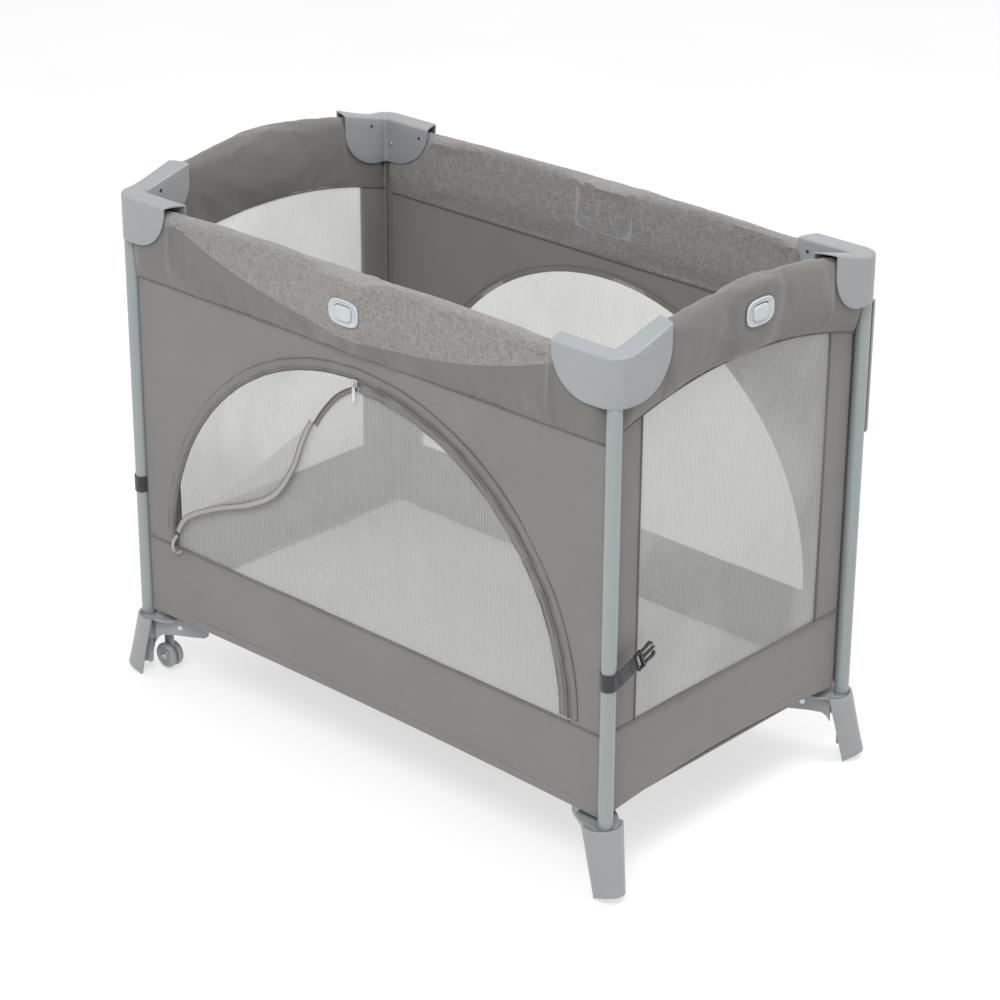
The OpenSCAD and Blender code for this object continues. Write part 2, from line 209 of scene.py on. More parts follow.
def spline(points, count):
    """count points, evenly spread along a Catmull-Rom curve through the given ones."""
    pts = [Vector(p) for p in points]
    pts = [pts[0] * 2 - pts[1]] + pts + [pts[-1] * 2 - pts[-2]]
    dense = []
    for a, b, c, d in zip(pts, pts[1:], pts[2:], pts[3:]):
        for k in range(24):
            t = k / 24
            dense.append(0.5 * ((2 * b) + (c - a) * t + (2 * a - 5 * b + 4 * c - d) * t * t
                                + (3 * b - a - 3 * c + d) * t ** 3))
    dense.append(pts[-2])
    dense = np.array([list(p) for p in dense])
    along = np.concatenate([[0], np.cumsum(np.linalg.norm(np.diff(dense, axis=0), axis=1))])
    at = np.linspace(0, along[-1], count)
    return [Vector([float(np.interp(x, along, dense[:, k])) for k in range(dense.shape[1])]) for x in at]


def rough(x, z, size, seed=0.0):
    """Smooth noise from -1 to 1 with features about size wide."""
    return noise.noise(Vector((x / size + seed * 7.3, z / size - seed * 3.1, seed)))


def ride(obj, body, replaces=()):
    """Fixes a visible piece to a moving body and hides the CAD nodes that it stands for."""
    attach(obj, body)
    if replaces:
        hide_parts(*replaces)
    return obj


# ------------------------------------------------------------------ places

def at_corner(corner, u, v, z):
    """u runs inward along the long side and v along the short side, from the post's axis."""
    sx, sy = CORNERS[corner]
    return Vector((sx * (HALF_X - u), sy * (HALF_Y - v), z))


def at_diagonal(corner, d, p, z):
    """d runs inward along the diagonal and p across it."""
    c, s = math.cos(DIAGONAL), math.sin(DIAGONAL)
    return at_corner(corner, d * c - p * s, d * s + p * c, z)


def mirrored(corner):
    sx, sy = CORNERS[corner]
    return sx * sy > 0


# A wall's own frame: s runs along it, o outward from the posts' plane
WALLS = {
    "front": lambda s, o, z: Vector((s, -HALF_Y - o, z)),
    "back": lambda s, o, z: Vector((-s, HALF_Y + o, z)),
    "right": lambda s, o, z: Vector((HALF_X + o, s, z)),
    "left": lambda s, o, z: Vector((-HALF_X - o, -s, z)),
}
WALL_ENDS = {  # bodies at s < 0 and s > 0
    "front": ("corner_front_left", "corner_front_right"),
    "back": ("corner_rear_right", "corner_rear_left"),
    "right": ("corner_front_right", "corner_rear_right"),
    "left": ("corner_rear_left", "corner_front_left"),
}
WALL_RAILS = {
    "front": ("rail_front_left", "rail_front_right"),
    "back": ("rail_back_right", "rail_back_left"),
    "right": ("rail_right_front", "rail_right_rear"),
    "left": ("rail_left_rear", "rail_left_front"),
}
WALL_BODY = {"front": "corner_front_left", "back": "corner_rear_left",
             "right": "corner_rear_right", "left": "corner_rear_left"}


def is_long(wall):
    return wall in ("front", "back")


def panel_end(wall):
    """Half the width of a wall's cloth."""
    return PANEL_END_X if is_long(wall) else PANEL_END_Y


def cloth_offset(wall):
    """How far a wall's cloth stands outside the posts' plane."""
    return LONG_OFFSET if is_long(wall) else SHORT_OFFSET


def wall_seed(wall, first):
    """A seed of its own for each wall."""
    return first + ("front", "back", "left", "right").index(wall)


def fold_wall(obj, wall, replaces=None):
    """A wall's piece rides on the wall's own corner."""
    ride(obj, WALL_BODY[wall], replaces or [f"side_{wall}"])
    sx, sy = CORNERS[WALL_BODY[wall].replace("corner_", "")]
    axis = (1, 0, 0) if is_long(wall) else (0, 1, 0)
    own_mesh(obj)
    return obj


# ------------------------------------------------------------------ materials

class Look:
    """A Principled material and the nodes that feed it."""

    def __init__(self, name, colour, roughness, **sockets):
        self.material = bpy.data.materials.new(name)
        self.material.use_nodes = True
        self.nodes = self.material.node_tree.nodes
        self.links = self.material.node_tree.links
        self.shader = self.nodes["Principled BSDF"]
        self.shader.inputs["Base Color"].default_value = (*colour, 1)
        self.shader.inputs["Roughness"].default_value = roughness
        for socket, value in sockets.items():
            self.shader.inputs[socket.replace("_", " ")].default_value = value
        self.place = self.nodes.new("ShaderNodeTexCoord").outputs["Object"]

    def scaled(self, scale):
        mapping = self.nodes.new("ShaderNodeMapping")
        mapping.inputs["Scale"].default_value = scale
        self.links.new(self.place, mapping.inputs["Vector"])
        return mapping.outputs["Vector"]

    def noise(self, scale, detail=3.0, stretch=(1, 1, 1), roughness=0.5):
        node = self.nodes.new("ShaderNodeTexNoise")
        node.inputs["Scale"].default_value = scale
        node.inputs["Detail"].default_value = detail
        node.inputs["Roughness"].default_value = roughness
        self.links.new(self.scaled(stretch), node.inputs["Vector"])
        return node.outputs["Fac"]

    def bands(self, direction, period, distortion=0.0):
        """Stripes across X, Y or Z."""
        node = self.nodes.new("ShaderNodeTexWave")
        node.bands_direction = direction
        node.inputs["Scale"].default_value = 2 * math.pi / 20 / period
        node.inputs["Distortion"].default_value = distortion
        node.inputs["Detail"].default_value = 1.0
        self.links.new(self.place, node.inputs["Vector"])
        return node.outputs["Fac"]

    def math(self, operation, a, b):
        node = self.nodes.new("ShaderNodeMath")
        node.operation = operation
        for socket, value in zip(node.inputs, (a, b)):
            if isinstance(value, (int, float)):
                socket.default_value = value
            else:
                self.links.new(value, socket)
        return node.outputs[0]

    def ramp(self, value, stops):
        """A colour from a value; stops are (position, colour)."""
        node = self.nodes.new("ShaderNodeValToRGB")
        while len(node.color_ramp.elements) < len(stops):
            node.color_ramp.elements.new(0.5)
        for element, (position, colour) in zip(node.color_ramp.elements, stops):
            element.position = position
            element.color = (*colour, 1)
        self.links.new(value, node.inputs["Fac"])
        return node.outputs["Color"]

    def range(self, value, low, high):
        node = self.nodes.new("ShaderNodeMapRange")
        node.inputs["To Min"].default_value = low
        node.inputs["To Max"].default_value = high
        self.links.new(value, node.inputs["Value"])
        return node.outputs["Result"]

    def bump(self, height, strength, distance, under=None):
        node = self.nodes.new("ShaderNodeBump")
        node.inputs["Strength"].default_value = strength
        node.inputs["Distance"].default_value = distance
        self.links.new(height, node.inputs["Height"])
        if under is not None:
            self.links.new(under, node.inputs["Normal"])
        return node.outputs["Normal"]

    def set(self, socket, value):
        self.links.new(value, self.shader.inputs[socket])


def shade(colour, factor):
    return tuple(min(1.0, c * factor) for c in colour)


def moulded_plastic(name, colour, roughness=0.36):
    """Satin moulded plastic with a fine grain and faint flow marks."""
    look = Look(name, colour, roughness, Specular_IOR_Level=0.5)
    flow = look.noise(9, 3, (1, 1, 0.5))
    look.set("Base Color", look.ramp(flow, [(0.3, shade(colour, 0.95)), (0.7, shade(colour, 1.04))]))
    grain = look.noise(900, 2)
    look.set("Roughness", look.range(look.noise(60, 4), roughness - 0.07, roughness + 0.09))
    look.set("Normal", look.bump(grain, 0.12, 0.0004))
    return look.material


def painted_tube(name, colour):
    """Powder-coated steel: even colour, fine orange peel, a soft clear sheen."""
    look = Look(name, colour, 0.3, Metallic=0.15, Coat_Weight=0.25, Coat_Roughness=0.2)
    scuff = look.noise(35, 5, (1, 1, 0.15))
    look.set("Base Color", look.ramp(scuff, [(0.25, shade(colour, 0.93)), (0.6, colour),
                                            (0.85, shade(colour, 1.05))]))
    look.set("Roughness", look.range(scuff, 0.24, 0.42))
    look.set("Normal", look.bump(look.noise(420, 2), 0.1, 0.0005))
    return look.material


def bright_steel(name):
    look = Look(name, (0.62, 0.63, 0.65), 0.28, Metallic=1.0)
    brushed = look.noise(300, 3, (1, 1, 6))
    look.set("Roughness", look.range(brushed, 0.2, 0.42))
    stops = [(0.3, (0.55, 0.56, 0.58)), (0.7, (0.68, 0.69, 0.7))]
    look.set("Base Color", look.ramp(look.noise(40, 3), stops))
    return look.material


def plain_weave(name, colour, period=0.0011, sheen=0.25, mottle=0.05):
    """Plain polyester cloth: warp and weft threads, soft mottling, a slight sheen."""
    look = Look(name, colour, 0.82, Sheen_Weight=sheen, Sheen_Roughness=0.45, Specular_IOR_Level=0.3)
    clouds = look.noise(7, 5, roughness=0.6)
    threads = look.noise(1, 2, (700, 700, 60))
    cross = look.noise(1, 2, (60, 60, 900))
    tone = look.math("ADD", look.math("MULTIPLY", clouds, 0.5),
                     look.math("MULTIPLY", look.math("ADD", threads, cross), 0.25))
    look.set("Base Color", look.ramp(tone, [(0.33, shade(colour, 1 - 1.6 * mottle)), (0.5, colour),
                                           (0.67, shade(colour, 1 + 1.6 * mottle))]))
    look.set("Roughness", look.range(clouds, 0.74, 0.9))
    weave = look.math("MAXIMUM", look.math("MAXIMUM", look.bands("X", period), look.bands("Y", period)),
                      look.bands("Z", period))
    soft = look.bump(look.noise(45, 4), 0.25, 0.0015)
    look.set("Normal", look.bump(weave, 0.35, 0.0004, soft))
    return look.material


def heather_weave(name, dark, mid, pale):
    """Linen-like mélange: uneven threads of three tones, along and across."""
    look = Look(name, mid, 0.88, Sheen_Weight=0.2, Sheen_Roughness=0.5, Specular_IOR_Level=0.25)
    along = look.noise(1, 3, (80, 800, 800), 0.65)
    across = look.noise(1, 3, (820, 820, 85), 0.65)
    fleck = look.noise(640, 3, roughness=0.7)
    blend = look.math("ADD", look.math("MULTIPLY", look.math("ADD", along, across), 0.42),
                      look.math("MULTIPLY", fleck, 0.16))
    look.set("Base Color", look.ramp(blend, [(0.39, dark), (0.5, mid), (0.61, pale)]))
    look.set("Normal", look.bump(blend, 0.7, 0.0016, look.bump(look.noise(50, 3), 0.2, 0.0015)))
    return look.material


def net(name, colour, cover):
    """Knitted mesh: small holes in staggered columns, with slightly denser upright ribs."""
    look = Look(name, colour, 0.75, Sheen_Weight=0.1, Specular_IOR_Level=0.25)
    rib_x = look.bands("X", 0.0052, 0.4)
    rib_y = look.bands("Y", 0.0052, 0.4)
    hole = look.math("MULTIPLY", look.math("MAXIMUM", look.bands("X", 0.0026), look.bands("Y", 0.0026)),
                     look.bands("Z", 0.0022))
    rib = look.math("MULTIPLY", look.math("ADD", rib_x, rib_y), 0.5)
    thread = look.math("SUBTRACT", look.math("ADD", cover, look.math("MULTIPLY", rib, 0.22)),
                       look.math("MULTIPLY", hole, 0.3))
    look.set("Alpha", look.math("ADD", thread, look.math("MULTIPLY", look.noise(30, 3), 0.06)))
    look.set("Base Color", look.ramp(rib, [(0.2, shade(colour, 0.93)), (0.8, shade(colour, 1.04))]))
    look.set("Normal", look.bump(rib, 0.3, 0.0006))
    return look.material


def webbing_weave(name, colour):
    """Black polypropylene webbing with its chevron ribs."""
    look = Look(name, colour, 0.62, Sheen_Weight=0.3, Specular_IOR_Level=0.35)
    rib = look.math("MAXIMUM", look.bands("Z", 0.0019, 0.6), look.bands("X", 0.0024, 0.6))
    look.set("Base Color", look.ramp(rib, [(0.2, shade(colour, 0.6)), (0.9, shade(colour, 1.9))]))
    look.set("Normal", look.bump(rib, 0.7, 0.0007))
    return look.material


def rubber_tread(name, colour):
    look = Look(name, colour, 0.7, Specular_IOR_Level=0.3)
    stops = [(0.3, shade(colour, 0.8)), (0.7, shade(colour, 1.3))]
    look.set("Base Color", look.ramp(look.noise(50, 4), stops))
    look.set("Normal", look.bump(look.noise(500, 2), 0.3, 0.0004))
    return look.material


def studio_floor(name):
    look = Look(name, (0.38, 0.38, 0.38), 0.9, Specular_IOR_Level=0.1, Emission_Color=(1, 1, 1, 1),
                Emission_Strength=0.6)
    stops = [(0.3, (0.37, 0.37, 0.37)), (0.7, (0.39, 0.39, 0.39))]
    look.set("Base Color", look.ramp(look.noise(2, 2), stops))
    return look.material


TAUPE = (0.176, 0.170, 0.161)
PLASTIC_BLUE = (0.262, 0.280, 0.294)
PAINT_BLUE = (0.258, 0.292, 0.296)

PLASTIC = moulded_plastic("plastic_blue_grey", PLASTIC_BLUE)
PLATE = moulded_plastic("plastic_pale", (0.44, 0.475, 0.49), 0.3)
# Near-black sheet for the insides of gaps and holes: painted shade, not the colour of any part.
PAINTED_SHADE = moulded_plastic("plastic_dark_gap", (0.02, 0.022, 0.024), 0.6)
BLACK = moulded_plastic("plastic_black", (0.022, 0.022, 0.024), 0.42)
PAINT = painted_tube("paint_blue_grey", PAINT_BLUE)
STEEL = bright_steel("rivet_steel")
CLOTH = plain_weave("cloth_taupe", TAUPE)
# The sleeves' taupe is the wall cloth made darker: painted shade for how the light falls on the sleeves.
SLEEVE_CLOTH_SHADED = plain_weave("cloth_taupe_sleeve", shade(TAUPE, 0.80), sheen=0.3, mottle=0.04)
HEATHER = heather_weave("cloth_heather", (0.142, 0.133, 0.125), (0.213, 0.201, 0.190), (0.305, 0.291, 0.277))
PIPING = plain_weave("cloth_piping", shade(TAUPE, 0.55), mottle=0.08)
THREAD = plain_weave("cloth_seam", shade(TAUPE, 0.72), mottle=0.08)
TAPE = plain_weave("cloth_zip_tape", (0.165, 0.153, 0.145), mottle=0.08)
EDGE = plain_weave("cloth_pale_edge", (0.33, 0.305, 0.29), mottle=0.06)
NET = net("mesh_pale_grey", (0.435, 0.435, 0.42), 0.58)
PAD = plain_weave("cloth_mattress", (0.47, 0.475, 0.45), sheen=0.15, mottle=0.02)
WEBBING = webbing_weave("webbing_black", (0.016, 0.017, 0.019))
RUBBER = rubber_tread("rubber_grey", (0.05, 0.052, 0.054))
FLOOR = studio_floor("studio_floor")


# ------------------------------------------------------------------ corner caps

CAP_OUT = 17 * MM
CAP_IN = 16 * MM
CAP_EDGE_R = 62 * MM
CAP_CORNER_R = 30 * MM
CAP_WALL = 2.4 * MM
CAP_LOW = 0.706
CAP_TOP = 0.775
CAP_RISE = 22 * MM
WING = (93 * MM, 89 * MM)
STRUT_PIN_D = 54 * MM
STRUT_PIN_Z = 0.0855
INNER_WING = 12 * MM
INNER_R = 4 * MM


def wing_stations(length, rise, steps=12):
    """(distance along the wing, bottom, top) from the free end back to the corner."""
    start = length - CAP_EDGE_R
    out = []
    for k in range(steps + 1):
        t = math.pi / 2 * (1 - k / steps)
        u = start + CAP_EDGE_R * math.sin(t)
        climb = min(1.0, max(0.0, (u - CAP_OUT) / (length - CAP_OUT)))
        out.append((u, CAP_LOW + CAP_EDGE_R * (1 - math.cos(t)), CAP_TOP + rise * climb ** 1.15))
    return out


def lobe(u, length):
    """The inner wall of a wing reaches further than the outer one."""
    return u + INNER_WING * max(0.0, (u - 0.3 * length) / (0.7 * length)) ** 1.5


def cap_stations():
    """Each station: outer point, inner point, bottom and top, from one wing's end to the other's."""
    corner_c = CAP_CORNER_R - CAP_OUT
    inner_c = CAP_IN + INNER_R
    out = [((u, -CAP_OUT), (lobe(u, WING[0]), CAP_IN), low, top) for u, low, top in wing_stations(WING[0], 0)]
    out.append(((inner_c, -CAP_OUT), (inner_c, CAP_IN), CAP_LOW, CAP_TOP))
    for k in range(13):
        a = -math.pi / 2 * (1 + k / 12)
        turn = (math.cos(a), math.sin(a))
        outer = (corner_c + CAP_CORNER_R * turn[0], corner_c + CAP_CORNER_R * turn[1])
        inner = (inner_c + INNER_R * turn[0], inner_c + INNER_R * turn[1])
        out.append((outer, inner, CAP_LOW, CAP_TOP))
    out.append(((-CAP_OUT, inner_c), (CAP_IN, inner_c), CAP_LOW, CAP_TOP + 1 * MM))
    for u, low, top in reversed(wing_stations(WING[1], CAP_RISE)):
        out.append(((-CAP_OUT, u), (CAP_IN, lobe(u, WING[1])), low, top))
    return out


def cap_section(outer, inner, low, top):
    """Points of an upside-down U from the outer wall's foot over the top to the inner wall's foot."""
    outer, inner = Vector(outer), Vector(inner)
    across = inner - outer
    width = across.length
    across.normalize()
    r = min(4 * MM, (top - low) * 0.45)
    wall = [low + (top - r - low) * k / 4 for k in range(4)]
    arc = [math.pi / 2 * k / 5 for k in range(6)]
    points = [(outer, z) for z in wall]
    points += [(outer + across * (r - r * math.cos(a)), top - r + r * math.sin(a)) for a in arc]
    for k in range(1, 4):
        s = k / 4
        crown = 0.6 * MM * math.sin(math.pi * s)
        points.append((outer + across * (r + (width - 2 * r) * s), top + crown))
    points += [(inner - across * (r - r * math.cos(a)), top - r + r * math.sin(a)) for a in reversed(arc)]
    points += [(inner, z) for z in reversed(wall)]
    return points


def make_cap(corner):
    verts = []
    rows = cap_stations()
    for station in rows:
        for (u, v), z in cap_section(*station):
            verts.append(at_corner(corner, u, v, z))
    cols = len(verts) // len(rows)
    shell = add_mesh(f"cap_shell_{corner}", verts, grid_faces(len(rows), cols), [PLASTIC],
                     flip=not mirrored(corner))
    thicken(shell, CAP_WALL, -1.0, 0.9 * MM)
    ride(shell, f"corner_{corner}", [f"cap_{corner}"])
    plugs = []
    for k, (place, base, r, depth, look) in enumerate(cap_details()):
        centre = at_corner(corner, *place)
        plugs.append(disc(f"plug_{k}", centre, centre - at_corner(corner, *base), r, depth, look))
    details = join(f"cap_screws_{corner}", plugs)
    ride(details, f"corner_{corner}")


def cap_details():
    """Screw holes and plugs on a cap: (place, point behind it, radius, depth, look); the holes are flat dark
    discs, painted shade.
    """
    out = CAP_OUT + 0.1 * MM
    inn = CAP_IN + 0.1 * MM
    return [
        # Dark discs at the screw holes: painted shade inside the holes.
        ((88 * MM, inn, 0.757), (88 * MM, 0, 0.757), 2.6 * MM, 0.4 * MM, PAINTED_SHADE),
        ((inn, 46 * MM, 0.768), (0, 46 * MM, 0.768), 2.6 * MM, 0.4 * MM, PAINTED_SHADE),
        ((27 * MM, inn, 0.735), (27 * MM, 0, 0.735), 3.0 * MM, 0.8 * MM, STEEL),
        ((44 * MM, -out, 0.7535), (44 * MM, 0, 0.7535), 4.2 * MM, 0.45 * MM, PLASTIC),
        ((-out, 40 * MM, 0.7665), (0, 40 * MM, 0.7665), 4.2 * MM, 0.45 * MM, PLASTIC),
    ]


def make_rivets(corner, wheeled):
    """The strut's rivet through the foot's cheeks, and a wheel's axle."""
    parts = []

    def pin(name, a, b, radius, head):
        parts.append(tube(name, [a, a.lerp(b, 0.5), b], radius, STEEL, 12))
        parts.append(disc(name + "_head", b, b - a, head, 1.2 * MM, STEEL))
        parts.append(disc(name + "_tail", a, a - b, head, 1.2 * MM, STEEL))

    ends = [at_diagonal(corner, STRUT_PIN_D, side * 13.2 * MM, STRUT_PIN_Z) for side in (-1, 1)]
    pin("strut_rivet", *ends, 2.6 * MM, 4.6 * MM)
    if wheeled:
        low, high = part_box("wheel_front" if "front" in corner else "wheel_rear")
        mid = (low + high) / 2
        reach = Vector((0, (high.y - low.y) / 2 + 1.2 * MM, 0))
        pin("axle", mid - reach, mid + reach, 2.6 * MM, 4.4 * MM)
    rivets = join(f"foot_rivets_{corner}", parts)
    ride(rivets, f"corner_{corner}", [f"rivets_{corner}"])


def disc(name, centre, normal, radius, depth, look):
    """A low round button with a rounded edge and a small socket, facing along normal."""
    n = Vector(normal).normalized()
    a = n.orthogonal().normalized()
    b = n.cross(a)
    profile = [(1.0, -1.0), (1.0, 0.3), (0.86, 0.95), (0.55, 1.0), (0.42, 0.55), (0.0001, 0.5)]
    verts, sides = [], 20
    for r, h in profile:
        for k in range(sides):
            t = 2 * math.pi * k / sides
            verts.append(centre + (a * math.cos(t) + b * math.sin(t)) * (radius * r) + n * (depth * h))
    return add_mesh(name, verts, grid_faces(len(profile), sides, wrap=True), [look])


# ------------------------------------------------------------------ feet and wheels

LEG_TOP = 0.1015
PLATFORM_Z = 0.099


def leg_outline(z, share):
    """A point of the leg's curved front: share runs from -1 to 1 round it. Returns (d, p)."""
    h = max(0.0, min(1.0, z / LEG_TOP))
    half = (17.5 + 7.5 * h) * MM
    front = (-33 + 21.5 * h ** 1.05) * MM
    depth = (23.5 + 2 * h) * MM
    a = share * math.pi / 2
    return front + depth * (1 - math.cos(a)), half * math.sin(a) + 3.5 * MM * (1 - h)


def make_leg(corner):
    verts, cols, rows = [], 21, 15
    for j in range(rows):
        z = LEG_TOP * j / (rows - 1)
        for i in range(cols):
            share = -1 + 2 * i / (cols - 1)
            d, p = leg_outline(z, share)
            lift = (1 - z / LEG_TOP) ** 3 * 11 * MM * (1 - abs(share) ** 2.5)
            verts.append(at_diagonal(corner, d, p, z + lift))
    leg = add_mesh("leg", verts, grid_faces(rows, cols), [PLASTIC], flip=not mirrored(corner))
    return thicken(leg, 4.5 * MM, -1.0, 1.0 * MM)


def prism(name, outline, place, half, look, rim=1.0 * MM):
    """A flat polygon given as (a, b) pairs, extruded both ways by half; place(a, b, t) gives the point."""
    n = len(outline)
    verts = [place(a, b, t) for t in (-half, half) for a, b in outline]
    faces = [tuple(reversed(range(n))), tuple(range(n, 2 * n))]
    faces += [(k, (k + 1) % n, n + (k + 1) % n, n + k) for k in range(n)]
    obj = add_mesh(name, verts, faces, [look])
    bpy.context.view_layer.objects.active = obj
    add_bevel(obj, rim, 3, 35)
    outward(obj)
    return bake(obj)


def in_metres(outline):
    return [(a * MM, b * MM) for a, b in outline]


def outward(obj):
    """Turns a closed mesh's faces outward."""
    bm = bmesh.new()
    bm.from_mesh(obj.data)
    bmesh.ops.recalc_face_normals(bm, faces=bm.faces)
    bm.to_mesh(obj.data)
    bm.free()


def make_platform(corner):
    """The flat top round the post, tapering back to the arm, with a hole round the tube; the dark ring of
    painted shade in that gap is made in make_foot.
    """
    half = [(24, 27.3), (35, 28), (44, 26.5), (50, 22), (54, 16), (60, 12.6)]
    back = [(a * MM, b * MM) for a, b in half] + [(a * MM, -b * MM) for a, b in reversed(half)]
    front = [leg_outline(PLATFORM_Z, -0.97 + 1.94 * k / 24) for k in range(25)]
    outline = [Vector(p) for p in front + back]
    hole = 12.4 * MM
    verts, rays = [], 72
    for k in range(rays):
        a = 2 * math.pi * k / rays
        ray = Vector((math.cos(a), math.sin(a)))
        far = 0.0
        for p, q in zip(outline, outline[1:] + outline[:1]):
            edge = q - p
            cross = ray.x * edge.y - ray.y * edge.x
            if abs(cross) < 1e-12:
                continue
            t = (p.x * edge.y - p.y * edge.x) / cross
            s = (p.x * ray.y - p.y * ray.x) / cross
            if t > 0 and -1e-6 <= s <= 1 + 1e-6:
                far = max(far, t)
        for r in (hole, hole + 1.2 * MM, (hole + far) / 2, far - 0.8 * MM):
            dip = 0.8 * MM if r == hole else 0.0
            verts.append(at_diagonal(corner, ray.x * r, ray.y * r, PLATFORM_Z - dip))
    faces = grid_faces(rays, 4)
    last = (rays - 1) * 4
    faces += [(last + j, last + j + 1, j + 1, j) for j in range(3)]
    top = add_mesh("platform", verts, faces, [PLASTIC], flip=mirrored(corner))
    return thicken(top, 3 * MM, -1.0)


def make_foot(corner, wheeled):
    gap = 9.5 * MM
    cheek = [(13, 56), (18, 65), (25, 70), (44, 71.5), (70, 71), (92, 71.5), (98.5, 76), (98, 88),
             (92, 93.5), (60, 97.5), (13, 97.5)]
    rib = [(-27, 15), (3, 16), (4, 60), (9, 68), (20, 72), (44, 75), (44, 95), (-7, 95), (-12, 80),
           (-18, 60), (-23, 38)]
    parts = [make_leg(corner), make_platform(corner)]
    for side in (-1, 1):
        middle = side * (gap + 1.75 * MM)
        parts.append(prism("cheek", in_metres(cheek),
                           lambda a, b, t, m=middle: at_diagonal(corner, a, m + t, b), 1.75 * MM,
                           PLASTIC, 0.9 * MM))
    parts.append(prism("rib", in_metres(rib), lambda a, b, t: at_diagonal(corner, a, t, b), 2.2 * MM,
                       PLASTIC, 0.7 * MM))
    # A dark ring round the tube where it enters the platform: painted shade in the gap.
    collar = []
    for z, r in ((0.0992, 13.2), (0.0992, 12.2), (0.094, 11.7), (0.088, 11.7)):
        for k in range(40):
            a = 2 * math.pi * k / 40
            collar.append(at_corner(corner, r * MM * math.cos(a), r * MM * math.sin(a), z))
    parts.append(add_mesh("gap", collar, grid_faces(4, 40, wrap=True), [PAINTED_SHADE]))
    if wheeled:
        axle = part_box("wheel_front" if "front" in corner else "wheel_rear")
        mid = (axle[0] + axle[1]) / 2
        u = HALF_X - abs(mid.x)
        v = HALF_Y - abs(mid.y)
        hang = [(u + 9 * MM * math.cos(a), mid.z + 9 * MM * math.sin(a))
                for a in [math.pi + math.pi * k / 8 for k in range(9)]]
        hang += [(u + 9 * MM, 0.078), (u - 9 * MM, 0.078)]
        parts.append(prism("fork", hang, lambda a, b, t: at_corner(corner, a, v + t, b), 2 * MM,
                           PLASTIC, 0.6 * MM))
    foot = join(f"foot_shell_{corner}", parts)
    ride(foot, f"corner_{corner}", [f"foot_{corner}"])


def make_wheel(node):
    """Twin discs with rounded rims, a recessed web and a raised hub."""
    low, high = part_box(node)
    mid = (low + high) / 2
    r = (high.z - low.z) / 2
    half = (high.y - low.y) / 2
    gap = 2.6 * MM
    w = half - gap
    profile = [(3.4 * MM, gap), (r * 0.9, gap), (r - 0.6 * MM, gap + 0.5 * MM), (r, gap + 2 * MM),
               (r, half - 3 * MM), (r - 1 * MM, half - 1 * MM), (r - 3 * MM, half - 0.2 * MM),
               (r - 5 * MM, half - 0.4 * MM), (r - 6 * MM, half - 2.6 * MM), (8.5 * MM, half - 3 * MM),
               (7.6 * MM, half - 0.6 * MM), (6.2 * MM, half - 0.3 * MM), (3.4 * MM, half - 0.3 * MM)]
    verts, faces, sides = [], [], 48
    for side in (-1, 1):
        start = len(verts)
        for rad, y in profile:
            for k in range(sides):
                a = 2 * math.pi * k / sides
                verts.append(mid + Vector((rad * math.cos(a), side * y, rad * math.sin(a))))
        ring = grid_faces(len(profile), sides, wrap=True, start=start)
        last = start + (len(profile) - 1) * sides
        ring += [(last + k, last + (k + 1) % sides, start + (k + 1) % sides, start + k) for k in range(sides)]
        faces += ring if side > 0 else [tuple(reversed(f)) for f in ring]
    wheel = add_mesh(f"{node}_discs", verts, faces, [PLASTIC])
    wheel.data.set_sharp_from_angle(angle=math.radians(50))
    outward(wheel)
    ride(wheel, node, [node])


# ------------------------------------------------------------------ cloth simulation

def cloth_settings(obj, pinned, pressure, grow):
    """Adds a Cloth modifier that swells the piece gently, held at the pinned points."""
    group = obj.vertex_groups.new(name="pinned")
    group.add([int(i) for i in pinned], 1.0, "REPLACE")
    cloth = obj.modifiers.new("Cloth", "CLOTH").settings
    cloth.vertex_group_mass = "pinned"
    cloth.quality = 5
    cloth.mass = 0.25
    cloth.tension_stiffness = 25
    cloth.compression_stiffness = 25
    cloth.shear_stiffness = 12
    cloth.bending_stiffness = 0.6
    cloth.air_damping = 3
    cloth.use_pressure = True
    cloth.uniform_pressure_force = pressure
    cloth.shrink_min = -grow
    cloth.effector_weights.gravity = 0


def simulate(pads, frames=18):
    """Runs all pads at once; pads maps an object to the furthest that a point may move."""
    scene = bpy.context.scene
    for frame_number in range(1, frames + 1):
        scene.frame_set(frame_number)
    graph = bpy.context.evaluated_depsgraph_get()
    for obj, limit in pads.items():
        count = len(obj.data.vertices)
        rest = np.zeros(count * 3)
        obj.data.vertices.foreach_get("co", rest)
        moved = np.zeros(count * 3)
        obj.evaluated_get(graph).data.vertices.foreach_get("co", moved)
        step = (moved - rest).reshape(-1, 3)
        length = np.linalg.norm(step, axis=1)
        scale = np.minimum(1.0, limit / np.maximum(length, 1e-9))
        obj.data.vertices.foreach_set("co", (rest.reshape(-1, 3) + step * scale[:, None]).ravel())
        obj.modifiers.clear()
        obj.data.update()
    scene.frame_set(1)


def split(obj, part_of):
    """Cuts an object into parts by its faces' centres; part_of gives each part's name."""
    mesh = obj.data
    co = [v.co.copy() for v in mesh.vertices]
    groups = {}
    for polygon in mesh.polygons:
        groups.setdefault(part_of(polygon.center), []).append(polygon)
    made = {}
    for name, polygons in sorted(groups.items()):
        used = sorted({v for p in polygons for v in p.vertices})
        place = {v: k for k, v in enumerate(used)}
        faces = [tuple(place[v] for v in p.vertices) for p in polygons]
        made[name] = add_mesh(name, [co[v] for v in used], faces, list(mesh.materials),
                              [p.material_index for p in polygons])
    bpy.data.objects.remove(obj)
    return made


def crease(obj, amount):
    """Moves each point along its normal by amount(point), to add wrinkles after a simulation."""
    mesh = obj.data
    normals = [v.normal.copy() for v in mesh.vertices]
    for vertex, normal in zip(mesh.vertices, normals):
        vertex.co += normal * amount(vertex.co)
    mesh.update()


# ------------------------------------------------------------------ top sleeves

